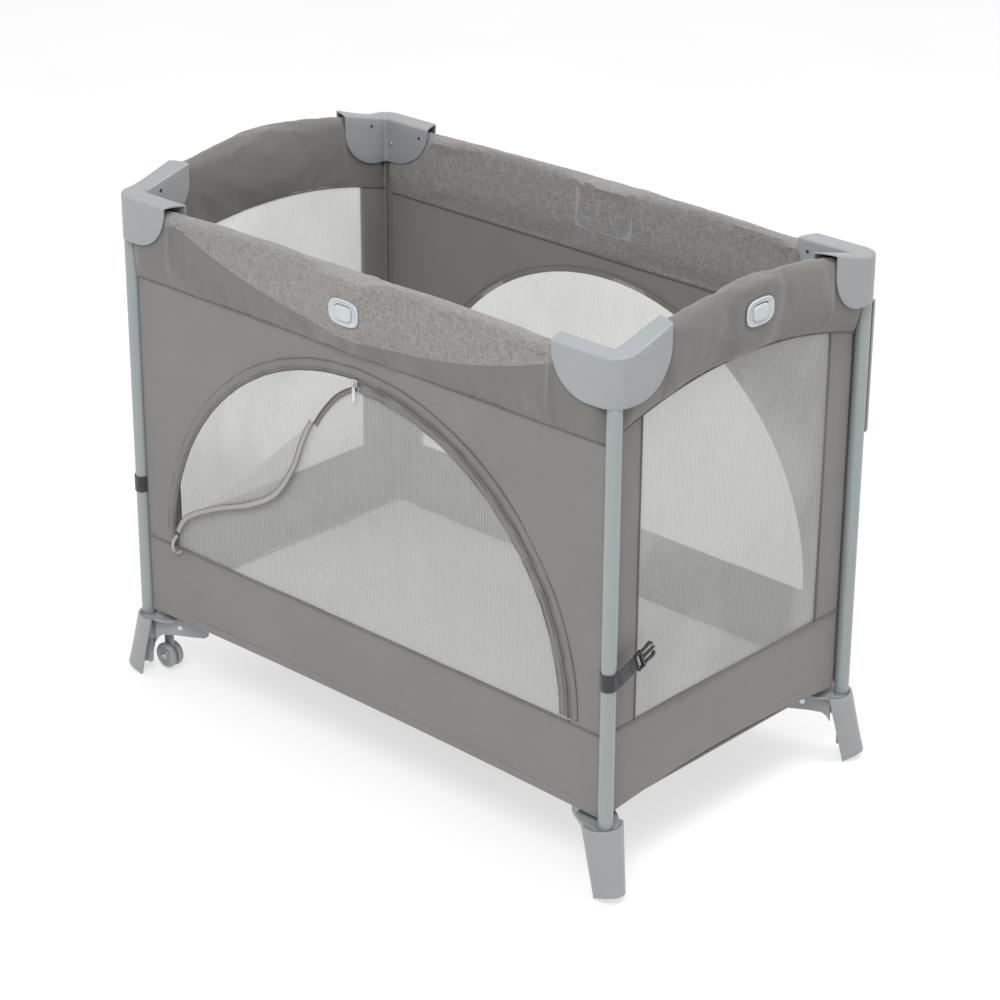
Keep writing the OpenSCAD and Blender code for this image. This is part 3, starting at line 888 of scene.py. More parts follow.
SLEEVE_HALF = 15 * MM
TUCKED_HALF = 12.3 * MM
TOP_R = 13 * MM
LONG_END = 0.4488
SHORT_END = 0.2488
LONG_SPLIT = 0.402
SHORT_SPLIT = 0.226
LONG_CAP = HALF_X - WING[0]
SHORT_CAP = HALF_Y - WING[1]
LONG_OFFSET = 0.5 * MM
SHORT_OFFSET = -8.5 * MM
PLATE_SWELL = {1: 5.6 * MM, -1: 1.6 * MM}
SIDE_ROWS = 16
ARC_ROWS = 8


def sleeve_end(wall):
    return LONG_END if is_long(wall) else SHORT_END


def sleeve_split(wall):
    """Where a sleeve's moving part ends and the part fixed to the corner begins."""
    return LONG_SPLIT if is_long(wall) else SHORT_SPLIT


def arch_drop(s):
    """How far the bowed short side has fallen at s."""
    return ARCH_R - math.sqrt(ARCH_R * ARCH_R - s * s)


def tucked(s, wall, inner=False):
    """0 in the open, 1 inside a cap; the caps reach further on their inner side."""
    cap = (LONG_CAP if is_long(wall) else SHORT_CAP) - (INNER_WING if inner else 0.0)
    return min(1.0, max(0.0, (abs(s) - cap + 4 * MM) / (5 * MM)))


def plate_height(wall):
    low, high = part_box(f"button_{wall}")
    return (low.z + high.z) / 2


def near_plate(s, wall):
    """1 beside a latch's plate, falling to 0 past the channel's ends."""
    reach = 62 * MM if is_long(wall) else 48 * MM
    return math.exp(-(abs(s) / reach) ** 4)


def sleeve_heights(s, wall):
    inside = tucked(s, wall)
    if is_long(wall):
        return SLEEVE_LOW, min(SLEEVE_TOP, CAP_TOP - CAP_WALL - 1.2 * MM) - 0.5 * MM
    top = SHORT_TOP - arch_drop(s) - 0.5 * MM
    roof = CAP_TOP - CAP_WALL + 0.3 * max(0.0, HALF_Y - abs(s) - CAP_OUT) - 2.5 * MM
    return SHORT_TOP - SHORT_DEPTH - arch_drop(s), top + (min(top, roof) - top) * inside


def heather_edge(s):
    """Height of the curved seam between the plain and the heather cloth on a long sleeve."""
    return 0.676 + 0.55 * (s - 0.02) ** 2


def sleeve_section(s, wall):
    """(o, z) points from the outer seam up, over the rail and down to the inner seam."""
    low, top = sleeve_heights(s, wall)
    end = sleeve_end(wall)
    close = math.sin(math.pi / 2 * min(1.0, (end - abs(s)) / (16 * MM)))
    plate = near_plate(s, wall)
    square = 2 / (2 + 1.6 * plate)
    base = cloth_offset(wall)
    halves = {}
    for sign in (1, -1):
        squeeze = (TUCKED_HALF - SLEEVE_HALF) * tucked(s, wall, sign < 0)
        half = SLEEVE_HALF + PLATE_SWELL[sign] * plate + squeeze
        halves[sign] = 3 * MM + (half - 3 * MM) * close
    shoulder = top - TOP_R
    edge = min(heather_edge(s), shoulder - 2 * MM) if is_long(wall) else (low + shoulder) / 2
    lower = SIDE_ROWS // 2
    heights = [low + (edge - low) * k / lower for k in range(lower)]
    heights += [edge + (shoulder - edge) * k / (SIDE_ROWS - lower) for k in range(SIDE_ROWS - lower)]
    even = [low + (shoulder - low) * k / SIDE_ROWS for k in range(SIDE_ROWS)]

    def side(z, sign):
        share = min(1.0, (z - low) / (0.55 * (shoulder - low)))
        foot = base + sign * 0.9 * MM
        return foot + (sign * halves[sign] - foot) * math.sin(share * math.pi / 2) ** (0.8 - 0.3 * plate)

    points = [(side(z, 1), z) for z in heights]
    for k in range(ARC_ROWS + 1):
        a = math.pi * k / ARC_ROWS
        half = halves[1 if math.cos(a) > 0 else -1]
        wide = math.copysign(abs(math.cos(a)) ** square, math.cos(a))
        points.append((half * wide, shoulder + TOP_R * math.sin(a) ** square))
    points += [(side(z, -1), z) for z in reversed(even)]
    return points


def sleeve_mesh(wall):
    place = WALLS[wall]
    end = sleeve_end(wall)
    split_at = sleeve_split(wall)
    count = 120 if is_long(wall) else 60
    stations = sorted({round(x, 6) for x in
                       list(np.linspace(-split_at, split_at, count + 1))
                       + list(np.linspace(split_at, end, 7)) + list(np.linspace(-end, -split_at, 7))})
    verts, pinned = [], []
    cols = len(sleeve_section(0.0, wall))
    plate_z = plate_height(wall)
    for i, s in enumerate(stations):
        for j, (o, z) in enumerate(sleeve_section(s, wall)):
            verts.append(place(s, o, z))
            at_plate = o > 0 and abs(s) < 33 * MM and abs(z - plate_z) < 24 * MM
            at_end = i in (0, len(stations) - 1) or tucked(s, wall) == 1.0
            if j in (0, cols - 1) or at_plate or at_end:
                pinned.append(len(verts) - 1)
    marks = []
    for i in range(len(stations) - 1):
        for j in range(cols):
            plain = j < SIDE_ROWS // 2 or j == cols - 1
            marks.append(0 if plain or not is_long(wall) else 1)
    flip = wall in ("front", "back")
    looks = [SLEEVE_CLOTH_SHADED, HEATHER] if is_long(wall) else [SLEEVE_CLOTH_SHADED]
    obj = add_mesh(f"sleeve_{wall}", verts, grid_faces(len(stations), cols, wrap=True), looks,
                   marks, flip=not flip)
    cloth_settings(obj, pinned, 1.6, 0.006)
    return obj


def sleeve_wrinkle(wall):
    """Gathers along the sleeve's seam and beside the caps, as a move along the normal."""
    seed = wall_seed(wall, 1.0)

    def amount(p):
        s = p.x if is_long(wall) else p.y
        low, top = sleeve_heights(s, wall)
        from_seam = max(0.0, p.z - low)
        cap = LONG_CAP if is_long(wall) else SHORT_CAP
        from_cap = max(0.0, cap - abs(s))
        gather = math.exp(-from_seam / 0.03) * (1 - math.exp(-from_seam / 0.003))
        beside = math.exp(-from_cap / 0.05) if abs(s) < cap else 0.0
        ripple = rough(s, p.z * 0.16, 0.011, seed) + 0.5 * rough(s, p.z * 0.3, 0.006, seed + 5)
        broad = rough(s, p.z, 0.06, seed + 9) * (1 - math.exp(-from_seam / 0.01))
        open_air = (1 - tucked(s, wall)) * (1 - 0.7 * near_plate(s, wall))
        upright = 0.6 if is_long(wall) else 1.3
        inner = rough(s, p.z * 0.12, 0.016, seed + 2) * (1 - math.exp(-from_seam / 0.01)) * upright
        return open_air * MM * (1.3 * gather * ripple + 1.1 * beside * ripple + 0.8 * broad + 0.75 * inner)

    return amount


def finish_sleeve(obj, wall):
    crease(obj, sleeve_wrinkle(wall))
    split_at = sleeve_split(wall)

    def part_of(centre):
        s = {"front": centre.x, "back": -centre.x, "right": centre.y, "left": -centre.y}[wall]
        side = "a" if s < 0 else "b"
        return f"sleeve_{wall}_{'end_' if abs(s) > split_at else ''}{side}"

    for name, piece in split(obj, part_of).items():
        k = 0 if name.endswith("_a") else 1
        thicken(piece, 1.2 * MM, -1.0)
        if "_end_" in name:
            ride(piece, WALL_ENDS[wall][k], [f"side_{wall}"])
        else:
            ride(piece, WALL_RAILS[wall][k], [f"side_{wall}"])
            pivot = RAIL_Z + (4 * MM if is_long(wall) else 12 * MM)
            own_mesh(piece)


# ------------------------------------------------------------------ latches

# Rings of (half width, half height, roundness, offset from the posts' plane), in millimetres
PLATE_RINGS = [(28, 19, 3, 12), (28, 19, 3, 21.8), (27.5, 18.5, 3, 23), (26.6, 17.6, 3, 23.4),
               (25.4, 16.4, 3, 23.2), (24.6, 15.6, 3, 22.4), (16.4, 11.9, 4, 22.2), (16.3, 11.8, 4, 18.7)]
# Rings from PLATE_HOLE on take the dark look: painted shade in the recess round the button.
PLATE_HOLE = 6
BUTTON_RINGS = [(15.4, 10.7, 4, 13), (15.4, 10.7, 4, 23.6), (15.0, 10.3, 4, 24.6), (14, 9.3, 4, 25.1),
                (9, 5.6, 3, 24.9)]


def rounded(half_width, half_height, power, count=64):
    """Points of a rounded rectangle with slightly bowed sides."""
    out = []
    for k in range(count):
        t = 2 * math.pi * (k + 0.5) / count
        c, s = math.cos(t), math.sin(t)
        out.append((math.copysign(half_width * abs(c) ** (2 / power), c),
                    math.copysign(half_height * abs(s) ** (2 / power), s)))
    return out


def face_plate(name, wall, z, rings, looks, dark_from=99):
    """A closed skin through rings; from ring dark_from on it is dark, painted shade in a recess."""
    place, verts, count = WALLS[wall], [], 64
    for a, b, power, o in rings:
        verts += [place(s, o * MM, z + h) for s, h in rounded(a * MM, b * MM, power, count)]
    faces = grid_faces(len(rings), count, wrap=True)
    last = (len(rings) - 1) * count
    faces += [tuple(range(count)), tuple(range(last, last + count))]
    marks = [1 if k // count >= dark_from else 0 for k in range(last)] + [0, 1 if dark_from < 99 else 0]
    obj = add_mesh(name, verts, faces, looks, marks)
    outward(obj)
    obj.data.set_sharp_from_angle(angle=math.radians(50))
    return obj


def make_latch(wall):
    """The channel inside a top sleeve, the button's plate outside it, a painted shadow line round the plate
    and the button.
    """
    z = plate_height(wall)
    low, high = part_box(f"latch_{wall}")
    half = (high.x - low.x if is_long(wall) else high.y - low.y) / 2 - 2 * MM
    place = WALLS[wall]
    plate = face_plate("plate", wall, z, PLATE_RINGS, [PLATE, PAINTED_SHADE], PLATE_HOLE)
    foot, head = z - 24 * MM, high.z - 7 * MM
    out, inn, bed = 12.4 * MM, 10.4 * MM, foot + 2 * MM
    shape = [(-out, foot), (out, foot), (out, head), (inn, head), (inn, bed), (-inn, bed), (-inn, head),
             (-out, head)]
    channel = prism("channel", shape, lambda a, b, t: place(t, a, b), half, PLASTIC, 0.5 * MM)
    # A thin dark cord round the plate on the sleeve's cloth: painted shadow of the plate's rim.
    edge = [place(s, 21.0 * MM, z + h) for s, h in rounded(28.7 * MM, 19.7 * MM, 3, 72)]
    gap = tube("plate_gap", edge, 0.8 * MM, PIPING, 6, closed=True)
    latch = join(f"latch_channel_{wall}", [channel, plate, gap])
    ride(latch, f"latch_{wall}", [f"latch_{wall}"])
    button = face_plate(f"latch_button_{wall}", wall, z - 0.6 * MM, BUTTON_RINGS, [PLATE])
    ride(button, f"button_{wall}", [f"button_{wall}"])


# ------------------------------------------------------------------ wall panels

def hem_height(s, wall):
    """The lower edge of a wall, which hangs lower at the feet."""
    end = panel_end(wall)
    middle = {"front": -5 * MM, "right": 3 * MM}.get(wall, 0.0)
    corner = min(1.0, abs(s) / end) ** 2
    return HEM_Z + middle + (-11 * MM - middle) * corner


def panel_offset(s, z, wall, top, base):
    """How far the cloth of a wall stands out: slow waves, fine gathers below the top seam."""
    seed = wall_seed(wall, 11.0)
    end = panel_end(wall)
    free = min(1.0, (end - abs(s)) / 0.03, max(0.0, top - z) / 0.03, (z - HEM_Z) / 0.02 + 0.4)
    waves = 1.7 * rough(s, z, 0.17, seed) + 0.7 * rough(s, z * 0.6, 0.06, seed + 1)
    gathers = math.exp(-max(0.0, top - z) / 0.035) * rough(s, z * 0.2, 0.012, seed + 2)
    pull = math.exp(-(end - abs(s)) / 0.05) * rough(s * 0.4, z, 0.022, seed + 3)
    gathers *= 0.7 * min(1.0, (top - z) / 0.004 + 0.2)
    return base + MM * (waves * max(0.0, free) + gathers + 0.5 * pull)


def spandrel(wall, middle, wide, tall, top):
    """Cloth between an arched opening, 2 x wide across and tall high, and the wall's edges."""
    place = WALLS[wall]
    corner = math.atan2(top - SEAM_Z, PANEL_END_X)
    angles = sorted({round(a, 6) for a in list(np.linspace(0, math.pi, 201)) + [corner, math.pi - corner]})
    rows, verts = 26, []
    for a in angles:
        c, s = math.cos(a), math.sin(a)
        far = min(PANEL_END_X / max(abs(c), 1e-9), (top - SEAM_Z) / max(s, 1e-9))
        for k in range(rows):
            f = k / (rows - 1)
            x = middle + wide * c + (far * c - middle - wide * c) * f
            z = SEAM_Z + (tall + (far - tall) * f) * s
            verts.append(place(x, panel_offset(x, z, wall, top, LONG_OFFSET), z))
    return verts, grid_faces(len(angles), rows)


def rectangle(wall, s0, s1, low, top_of, count, rows, base, top):
    """A patch of cloth from s0 to s1, from low (the hem where it is None) up to top_of(s)."""
    place, verts = WALLS[wall], []
    for i in range(count):
        s = s0 + (s1 - s0) * i / (count - 1)
        high = top_of(s)
        foot = hem_height(s, wall) + 2 * MM if low is None else low
        for k in range(rows):
            z = foot + (high - foot) * k / (rows - 1)
            verts.append(place(s, panel_offset(s, z, wall, top, base), z))
    return verts, grid_faces(count, rows)


def patchwork(name, patches, look, thickness=1.5 * MM):
    verts, faces = [], []
    for v, f in patches:
        faces += [tuple(i + len(verts) for i in face) for face in f]
        verts += v
    obj = add_mesh(name, verts, faces, [look])
    return thicken(obj, thickness, 0.0)


def make_long_panel(wall):
    top = SLEEVE_LOW + 4 * MM
    opening = (DOOR_X, DOOR_R + 4 * MM, DOOR_H + 5 * MM) if wall == "front" else (0.0, WINDOW_R, WINDOW_R)
    band = rectangle(wall, -PANEL_END_X, PANEL_END_X, None, lambda s: SEAM_Z, 160, 18,
                     LONG_OFFSET, top)
    panel = patchwork(f"panel_{wall}", [spandrel(wall, *opening, top), band], CLOTH)
    fold_wall(panel, wall)


def short_seam(s):
    return SHORT_TOP - SHORT_DEPTH - arch_drop(s) + 3 * MM


def make_short_panel(wall):
    patches = [rectangle(wall, -PANEL_END_Y, PANEL_END_Y, None, lambda s: SEAM_Z, 90, 18,
                         SHORT_OFFSET, short_seam(0))]
    for side in (-1, 1):
        ends = sorted((side * WINDOW_Y, side * PANEL_END_Y))
        patches.append(rectangle(wall, ends[0], ends[1], SEAM_Z, short_seam, 12, 70, SHORT_OFFSET,
                                 short_seam(WINDOW_Y)))
    panel = patchwork(f"panel_{wall}", patches, CLOTH)
    fold_wall(panel, wall)
    short_seam(0) - HEM_Z


def seam_line(name, wall, points, radius=1.1 * MM, look=None, offset=1.6 * MM, both=True):
    """A corded seam on a wall through (s, z) points, on its outer and its inner face."""
    place = WALLS[wall]
    base = cloth_offset(wall)
    made = []
    for sign in ((1, -1) if both else (1,)):
        line = [place(s, base + sign * offset, z) for s, z in points]
        made.append(tube(f"{name}_{wall}_{sign}", line, radius, look or PIPING, 6))
    cord = join(f"{name}_{wall}", made) if len(made) > 1 else made[0]
    cord.name = f"{name}_{wall}"
    return fold_wall(cord, wall)


def line_of(s0, s1, height, count=80):
    """(s, z) points along a seam whose height is a function of s."""
    return [(s, height(s)) for s in np.linspace(s0, s1, count)]


def make_wall_seams(wall):
    end = panel_end(wall)

    def upper(s):
        if is_long(wall):
            return SLEEVE_LOW + 0.5 * MM + 0.5 * MM * rough(s, 0, 0.05, 3)
        return short_seam(s) - 2 * MM + 0.4 * MM * rough(s, 0, 0.05, 4)

    def lower(s):
        return SEAM_Z + 0.5 * MM * rough(s, 0, 0.05, 6)

    seam_line("seam_top", wall, line_of(-end, end, upper), 1.4 * MM, offset=1.9 * MM)
    seam_line("seam_low", wall, line_of(-end, end, lower), 1.2 * MM, look=THREAD)
    place = WALLS[wall]
    base = cloth_offset(wall)
    centre = [place(s, base + 0.3 * MM, hem_height(s, wall) + 6.5 * MM) for s in np.linspace(-end, end, 100)]
    hem = ribbon(f"hem_{wall}", centre, [(0, 0, 1)] * 100, 13 * MM, 2.8 * MM, CLOTH, 0.9 * MM)
    fold_wall(hem, wall)
    if not is_long(wall):
        for side in (-1, 1):
            edge = [(side * WINDOW_Y, z) for z in np.linspace(SEAM_Z, short_seam(WINDOW_Y), 60)]
            seam_line(f"seam_window_{'a' if side < 0 else 'b'}", wall, edge, 1.1 * MM, look=THREAD)


def net_offset(s, z, wall, base):
    seed = wall_seed(wall, 21.0)
    return base + MM * (2.0 * rough(s, z, 0.2, seed) + 0.5 * rough(s, z * 0.5, 0.04, seed + 1))


def net_patch(wall, name, columns, low, top_of, rows, base, bulge=None):
    """A mesh sheet made of upright columns from low to top_of(s)."""
    place, verts = WALLS[wall], []
    for s in columns:
        high = max(low + 0.5 * MM, top_of(s))
        for k in range(rows):
            z = low + (high - low) * k / (rows - 1)
            o = net_offset(s, z, wall, base) + (bulge(s, z, k / (rows - 1)) if bulge else 0.0)
            verts.append(place(s, o, z))
    return add_mesh(name, verts, grid_faces(len(columns), rows), [NET])


def half_round(radius):
    return lambda s: SEAM_Z + math.sqrt(max(0.0, radius * radius - s * s))


def round_columns(radius, count):
    """Columns of a half circle, closer together near its ends."""
    return [-radius * math.cos(math.pi * k / (count - 1)) for k in range(count)]


def make_window_nets():
    for wall in ("left", "right"):
        piece = net_patch(wall, f"net_{wall}", list(np.linspace(-WINDOW_Y - 3 * MM, WINDOW_Y + 3 * MM, 70)),
                          SEAM_Z - 3 * MM, short_seam, 80, SHORT_OFFSET - 1 * MM)
        fold_wall(piece, wall)
        short_seam(0) - SEAM_Z
        0.97 * 2 * WINDOW_Y * (short_seam(0) - SEAM_Z)
    radius = WINDOW_R + 4 * MM
    piece = net_patch("back", "net_back", round_columns(radius, 110), SEAM_Z - 3 * MM, half_round(radius), 50,
                      LONG_OFFSET - 1 * MM)
    fold_wall(piece, "back")


def arch(wide, tall, a0, a1, count, middle=0.0):
    """(s, z) points along a half-round line above the lower seam."""
    return [(middle + wide * math.cos(a), SEAM_Z + tall * math.sin(a)) for a in np.linspace(a0, a1, count)]


def wall_tape(name, wall, points, width, offset, thickness, look, wobble=0.0, seed=0.0):
    """A tape laid on a wall along (s, z) points."""
    place = WALLS[wall]
    base = cloth_offset(wall)
    centre, across = [], []
    for k, (s, z) in enumerate(points):
        a, b = points[max(0, k - 1)], points[min(len(points) - 1, k + 1)]
        run = Vector((b[0] - a[0], b[1] - a[1])).normalized()
        o = base + offset + wobble * rough(k * 0.01, 0, 0.06, seed)
        centre.append(place(s + wobble * 0.5 * run.y * rough(k * 0.01, 1, 0.08, seed), o, z))
        tip = place(s - run.y, o, z + run.x) - place(s, o, z)
        across.append(tip.normalized())
    return ribbon(name, centre, across, width, thickness, look, 0.25 * MM)


def make_back_window_trim():
    inner, outer = [arch(WINDOW_R + grow, WINDOW_R + grow, 0, math.pi, 150) for grow in (3 * MM, 8 * MM)]
    binding = wall_tape("window_binding", "back", inner, 9 * MM, 0.0, 3.4 * MM, TAPE)
    fold_wall(binding, "back")
    seam_line("seam_window", "back", outer, 0.8 * MM, look=THREAD)


# ------------------------------------------------------------------ door

# (s, z) along the top of the door's mesh, where it is unzipped, and along the edge that hangs down
RIDGE = [(-0.388, SEAM_Z), (-0.372, 0.280), (-0.350, 0.292), (-0.082, 0.527), (-0.066, 0.548),
         (-0.042, 0.575), (-0.020, 0.592), (0.003, 0.605)]
FREE_EDGE = [(0.003, 0.604), (-0.020, 0.592), (-0.042, 0.575), (-0.066, 0.548), (-0.082, 0.525),
             (-0.099, 0.490), (-0.119, 0.444), (-0.158, 0.391), (-0.214, 0.356), (-0.290, 0.325),
             (-0.350, 0.293), (-0.374, 0.262)]
FLAT_PART = 5
ZIPPED_FROM = math.pi / 2 - 0.012


def door_arch(grow, a0, a1, count):
    return arch(DOOR_R + grow, DOOR_H + grow, a0, a1, count, DOOR_X)


def ridge_height(s):
    """Top of the door's mesh: the fold on the left, the zip's arch on the right."""
    if s > DOOR_X:
        share = (s - DOOR_X) / (DOOR_R - 4 * MM)
        return SEAM_Z + (DOOR_H - 4 * MM) * math.sqrt(max(0.0, 1 - share * share))
    xs = [p[0] for p in RIDGE]
    zs = [p[1] for p in RIDGE]
    return float(np.interp(s, xs, zs))


def make_door():
    radius = DOOR_R - 4 * MM
    columns = sorted({round(s + DOOR_X, 6) for s in round_columns(radius, 120)})
    sheet = net_patch("front", "door_net", columns, SEAM_Z - 3 * MM, ridge_height, 60,
                      LONG_OFFSET - 1.2 * MM)
    fold_wall(sheet, "front", ["door_mesh"])
    flap = make_flap()
    trim_zip()
    trim_free_edge()
    make_slider()


def make_flap():
    """The part of the door that is unzipped and hangs down over its lower part."""
    count, rows = 80, 14
    free = spline([Vector((x, z, 0)) for x, z in FREE_EDGE[FLAT_PART - 1:11]], count)
    place, verts = WALLS["front"], []
    for i, low in enumerate(free):
        t = i / (count - 1)
        top = Vector((-0.080 - 0.270 * (0.9 * t + 0.1 * t * t), 0, 0))
        top.y = ridge_height(top.x)
        base = net_offset(top.x, top.y, "front", LONG_OFFSET - 1.2 * MM)
        verts.append(place(top.x, base, top.y))
        verts.append(place(top.x, base + 1.6 * MM, top.y + 1.0 * MM))
        verts.append(place(top.x, base + 3.6 * MM, top.y + 0.2 * MM))
        for k in range(1, rows):
            f = k / (rows - 1)
            s = top.x + (low.x - top.x) * f
            z = top.y + (low.y - top.y) * f
            puff = 2.2 * math.sin(math.pi * f) + 1.2 * f * rough(t, f * 0.3, 0.14, 31)
            verts.append(place(s, base + (4.0 + puff) * MM, z))
    flap = add_mesh("door_flap_net", verts, grid_faces(count, rows + 2), [NET])
    return fold_wall(flap, "front", ["door_mesh"])


def trim_zip():
    """The two zip tapes, their stitching, a painted shade line along the outer tape's edge and the coil round
    the door.
    """
    full = (0.02, math.pi - 0.008)
    zipped = (0.02, ZIPPED_FROM)
    outer = wall_tape("zip_tape_outer", "front", door_arch(8.5 * MM, *full, 220), 15 * MM, 1.7 * MM,
                      1.3 * MM, TAPE, 0.8 * MM, 41)
    fold_wall(outer, "front")
    inner = wall_tape("zip_tape_inner", "front", door_arch(-8.5 * MM, *zipped, 130), 15 * MM, 1.3 * MM,
                      1.4 * MM, TAPE, 1.6 * MM, 42)
    fold_wall(inner, "front")
    place = WALLS["front"]

    def line(name, grow, span, thick, look, offset, waver, seed, count=200):
        points = []
        for k, (s, z) in enumerate(door_arch(grow, *span, count)):
            out = ((s - DOOR_X) / DOOR_R, (z - SEAM_Z) / DOOR_H)
            shift = waver * rough(k * 0.01, 0, 0.05, seed)
            points.append(place(s + out[0] * shift, LONG_OFFSET + offset, z + out[1] * shift))
        fold_wall(tube(name, points, thick, look, 6), "front")

    line("zip_coil", 0.0, zipped, 1.9 * MM, PIPING, 2.6 * MM, 0.8 * MM, 43, 130)
    line("zip_coil_open", 0.4 * MM, (ZIPPED_FROM, math.pi - 0.01), 1.4 * MM, PIPING, 2.2 * MM, 0.6 * MM, 44)
    line("zip_stitch_a", 5 * MM, full, 0.5 * MM, THREAD, 2.6 * MM, 0.9 * MM, 45)
    # The thicker dark line on the outer tape's edge is a painted shade line along that edge.
    line("zip_stitch_b", 16 * MM, full, 1.0 * MM, PIPING, 1.5 * MM, 0.9 * MM, 46)
    line("zip_stitch_c", -6 * MM, zipped, 0.5 * MM, THREAD, 2.3 * MM, 1.2 * MM, 47, 130)
    line("zip_stitch_d", -15.5 * MM, zipped, 0.9 * MM, THREAD, 1.7 * MM, 1.6 * MM, 48, 130)


def trim_free_edge():
    """A dark tape from the slider to the fold, then a narrow pale one along the hanging flap."""
    place = WALLS["front"]
    pieces = [("upper", FREE_EDGE[:FLAT_PART], 50, 6.5 * MM, TAPE, PIPING, 1.4 * MM),
              ("lower", FREE_EDGE[FLAT_PART - 1:], 130, 8.0 * MM, EDGE, TAPE, 0.7 * MM)]
    for name, corners, count, width, look, cord_look, cord in pieces:
        points = spline([Vector((x, z, 0)) for x, z in corners], count)
        centre, across, rims = [], [], ([], [])
        for k, p in enumerate(points):
            a, b = points[max(0, k - 1)], points[min(count - 1, k + 1)]
            run = (b - a).normalized()
            inward = Vector((run.y, -run.x, 0)) if name == "upper" else Vector((-run.y, run.x, 0))
            turned = 0.0 if name == "upper" else min(1.0, k / 6)
            out = LONG_OFFSET + (1.8 + 4.4 * turned) * MM + 0.8 * MM * rough(k * 0.01, 0, 0.09, 51)
            mid = p - inward * width * 0.5
            centre.append(place(mid.x, out, mid.y))
            across.append((place(mid.x, out, mid.y) - place(p.x, out, p.y)).normalized())
            for rim, share in zip(rims, (0.0, 1.0)):
                edge = p - inward * width * share
                rim.append(place(edge.x, out + 0.7 * MM, edge.y))
        fold_wall(ribbon(f"flap_tape_{name}", centre, across, width, 1.1 * MM, look, 0.25 * MM), "front")
        cords = [tube("cord", rims[0], cord, cord_look, 6), tube("cord", rims[1], 0.6 * MM, cord_look, 6)]
        fold_wall(join(f"flap_cords_{name}", cords), "front")
    turns = [(-0.378, 7, 0.258), (-0.383, 9, 0.250), (-0.386, 10, 0.240), (-0.385, 9, 0.231),
             (-0.380, 6, 0.228), (-0.374, 4, 0.233)]
    loop = spline([place(s, o * MM, z) for s, o, z in turns], 24)
    across = [Vector((1, -0.25, 0.1)).normalized()] * 24
    end = ribbon("zip_end_loop", loop, across, 8 * MM, 1.2 * MM, EDGE, 0.25 * MM)
    fold_wall(end, "front")


def make_slider():
    place = WALLS["front"]
    x, z = 0.004, SEAM_Z + DOOR_H - 4 * MM
    body = [(-3, -6), (3, -6), (4.6, -2), (5, 5), (3, 6.5), (-3, 6.5), (-5, 5), (-4.6, -2)]
    slider = prism("slider_body", in_metres(body), lambda a, b, t: place(x + a, 5 * MM + t, z + b), 2 * MM,
                   STEEL, 0.8 * MM)
    bow = [place(x, o * MM, z + h * MM) for o, h in ((7, -4), (10, -2), (10, 2), (7, 4))]
    bridge = tube("slider_bridge", spline(bow, 16), 1.0 * MM, STEEL, 8)
    slider = join("slider", [slider, bridge])
    fold_wall(slider, "front", ["zip_slider"])
    link = [place(x + 3.0 * MM * math.cos(a), 8.8 * MM, z - 1 * MM + 3.4 * MM * math.sin(a))
            for a in np.linspace(0, 2 * math.pi, 24, endpoint=False)]
    ring = tube("pull_ring", link, 0.8 * MM, STEEL, 8, closed=True)
    tab = [(-2.4, -4), (2.4, -4), (3.2, -9), (2.9, -22), (1.6, -25.5), (-1.6, -25.5), (-2.9, -22),
           (-3.2, -9)]
    tab = prism("pull_tab", in_metres(tab), lambda a, b, t: place(x + a, 8.6 * MM + t, z + b), 0.9 * MM,
                STEEL, 0.5 * MM)
    pull = join("pull", [ring, tab])
    ride(pull, "zip_pull", ["zip_pull"])
    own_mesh(pull)


# ------------------------------------------------------------------ corners of the cloth

STRIP_TOP = 0.712


def make_corner_strip(corner):
    """The cloth that passes behind the post, with a piped edge inside."""
    turns = ((13.5, -1.5), (13.6, 3), (13.2, 7.5), (11.2, 11), (8.0, 12.6))
    path = spline([Vector(p) * MM for p in turns], 14)
    heights = np.linspace(HEM_Z, STRIP_TOP, 110)
    seed = 60 + list(CORNERS).index(corner)
    verts = []
    for z in heights:
        gather = math.exp(-(STRIP_TOP - z) / 0.05)
        for k, p in enumerate(path):
            swell = rough(k * 0.1, z, 0.05, seed) + gather * rough(k * 0.3, z * 0.3, 0.12, seed)
            out = 1 + 0.05 * swell
            verts.append(at_corner(corner, p.x * out, p.y * out, z))
    strip = add_mesh(f"corner_cloth_{corner}", verts, grid_faces(len(heights), len(path)), [CLOTH])
    thicken(strip, 1.2 * MM, 0.0)
    side = "front" if "front" in corner else "back"
    ride(strip, f"corner_{corner}", [f"side_{side}"])
    line = [at_corner(corner, 13.6 * MM + 0.5 * MM * rough(0, z, 0.06, seed), 11.4 * MM, z)
            for z in np.linspace(HEM_Z + 3 * MM, STRIP_TOP - 8 * MM, 90)]
    piping = tube(f"corner_piping_{corner}", line, 1.9 * MM, PIPING, 8)
    ride(piping, f"corner_{corner}")


# ------------------------------------------------------------------ mattress and base

def edge_steps(half, count, rim):
    """Grid lines from -half to half, through 0, close together at the rim."""
    near = [half - d for d in (0.0, 0.05 * rim, 0.2 * rim, 0.45 * rim, 0.75 * rim, rim)]
    inner = list(np.linspace(0, half - rim, count + 1))[:-1]
    positive = sorted(set(inner + near))
    return [-x for x in reversed(positive) if x > 0] + positive


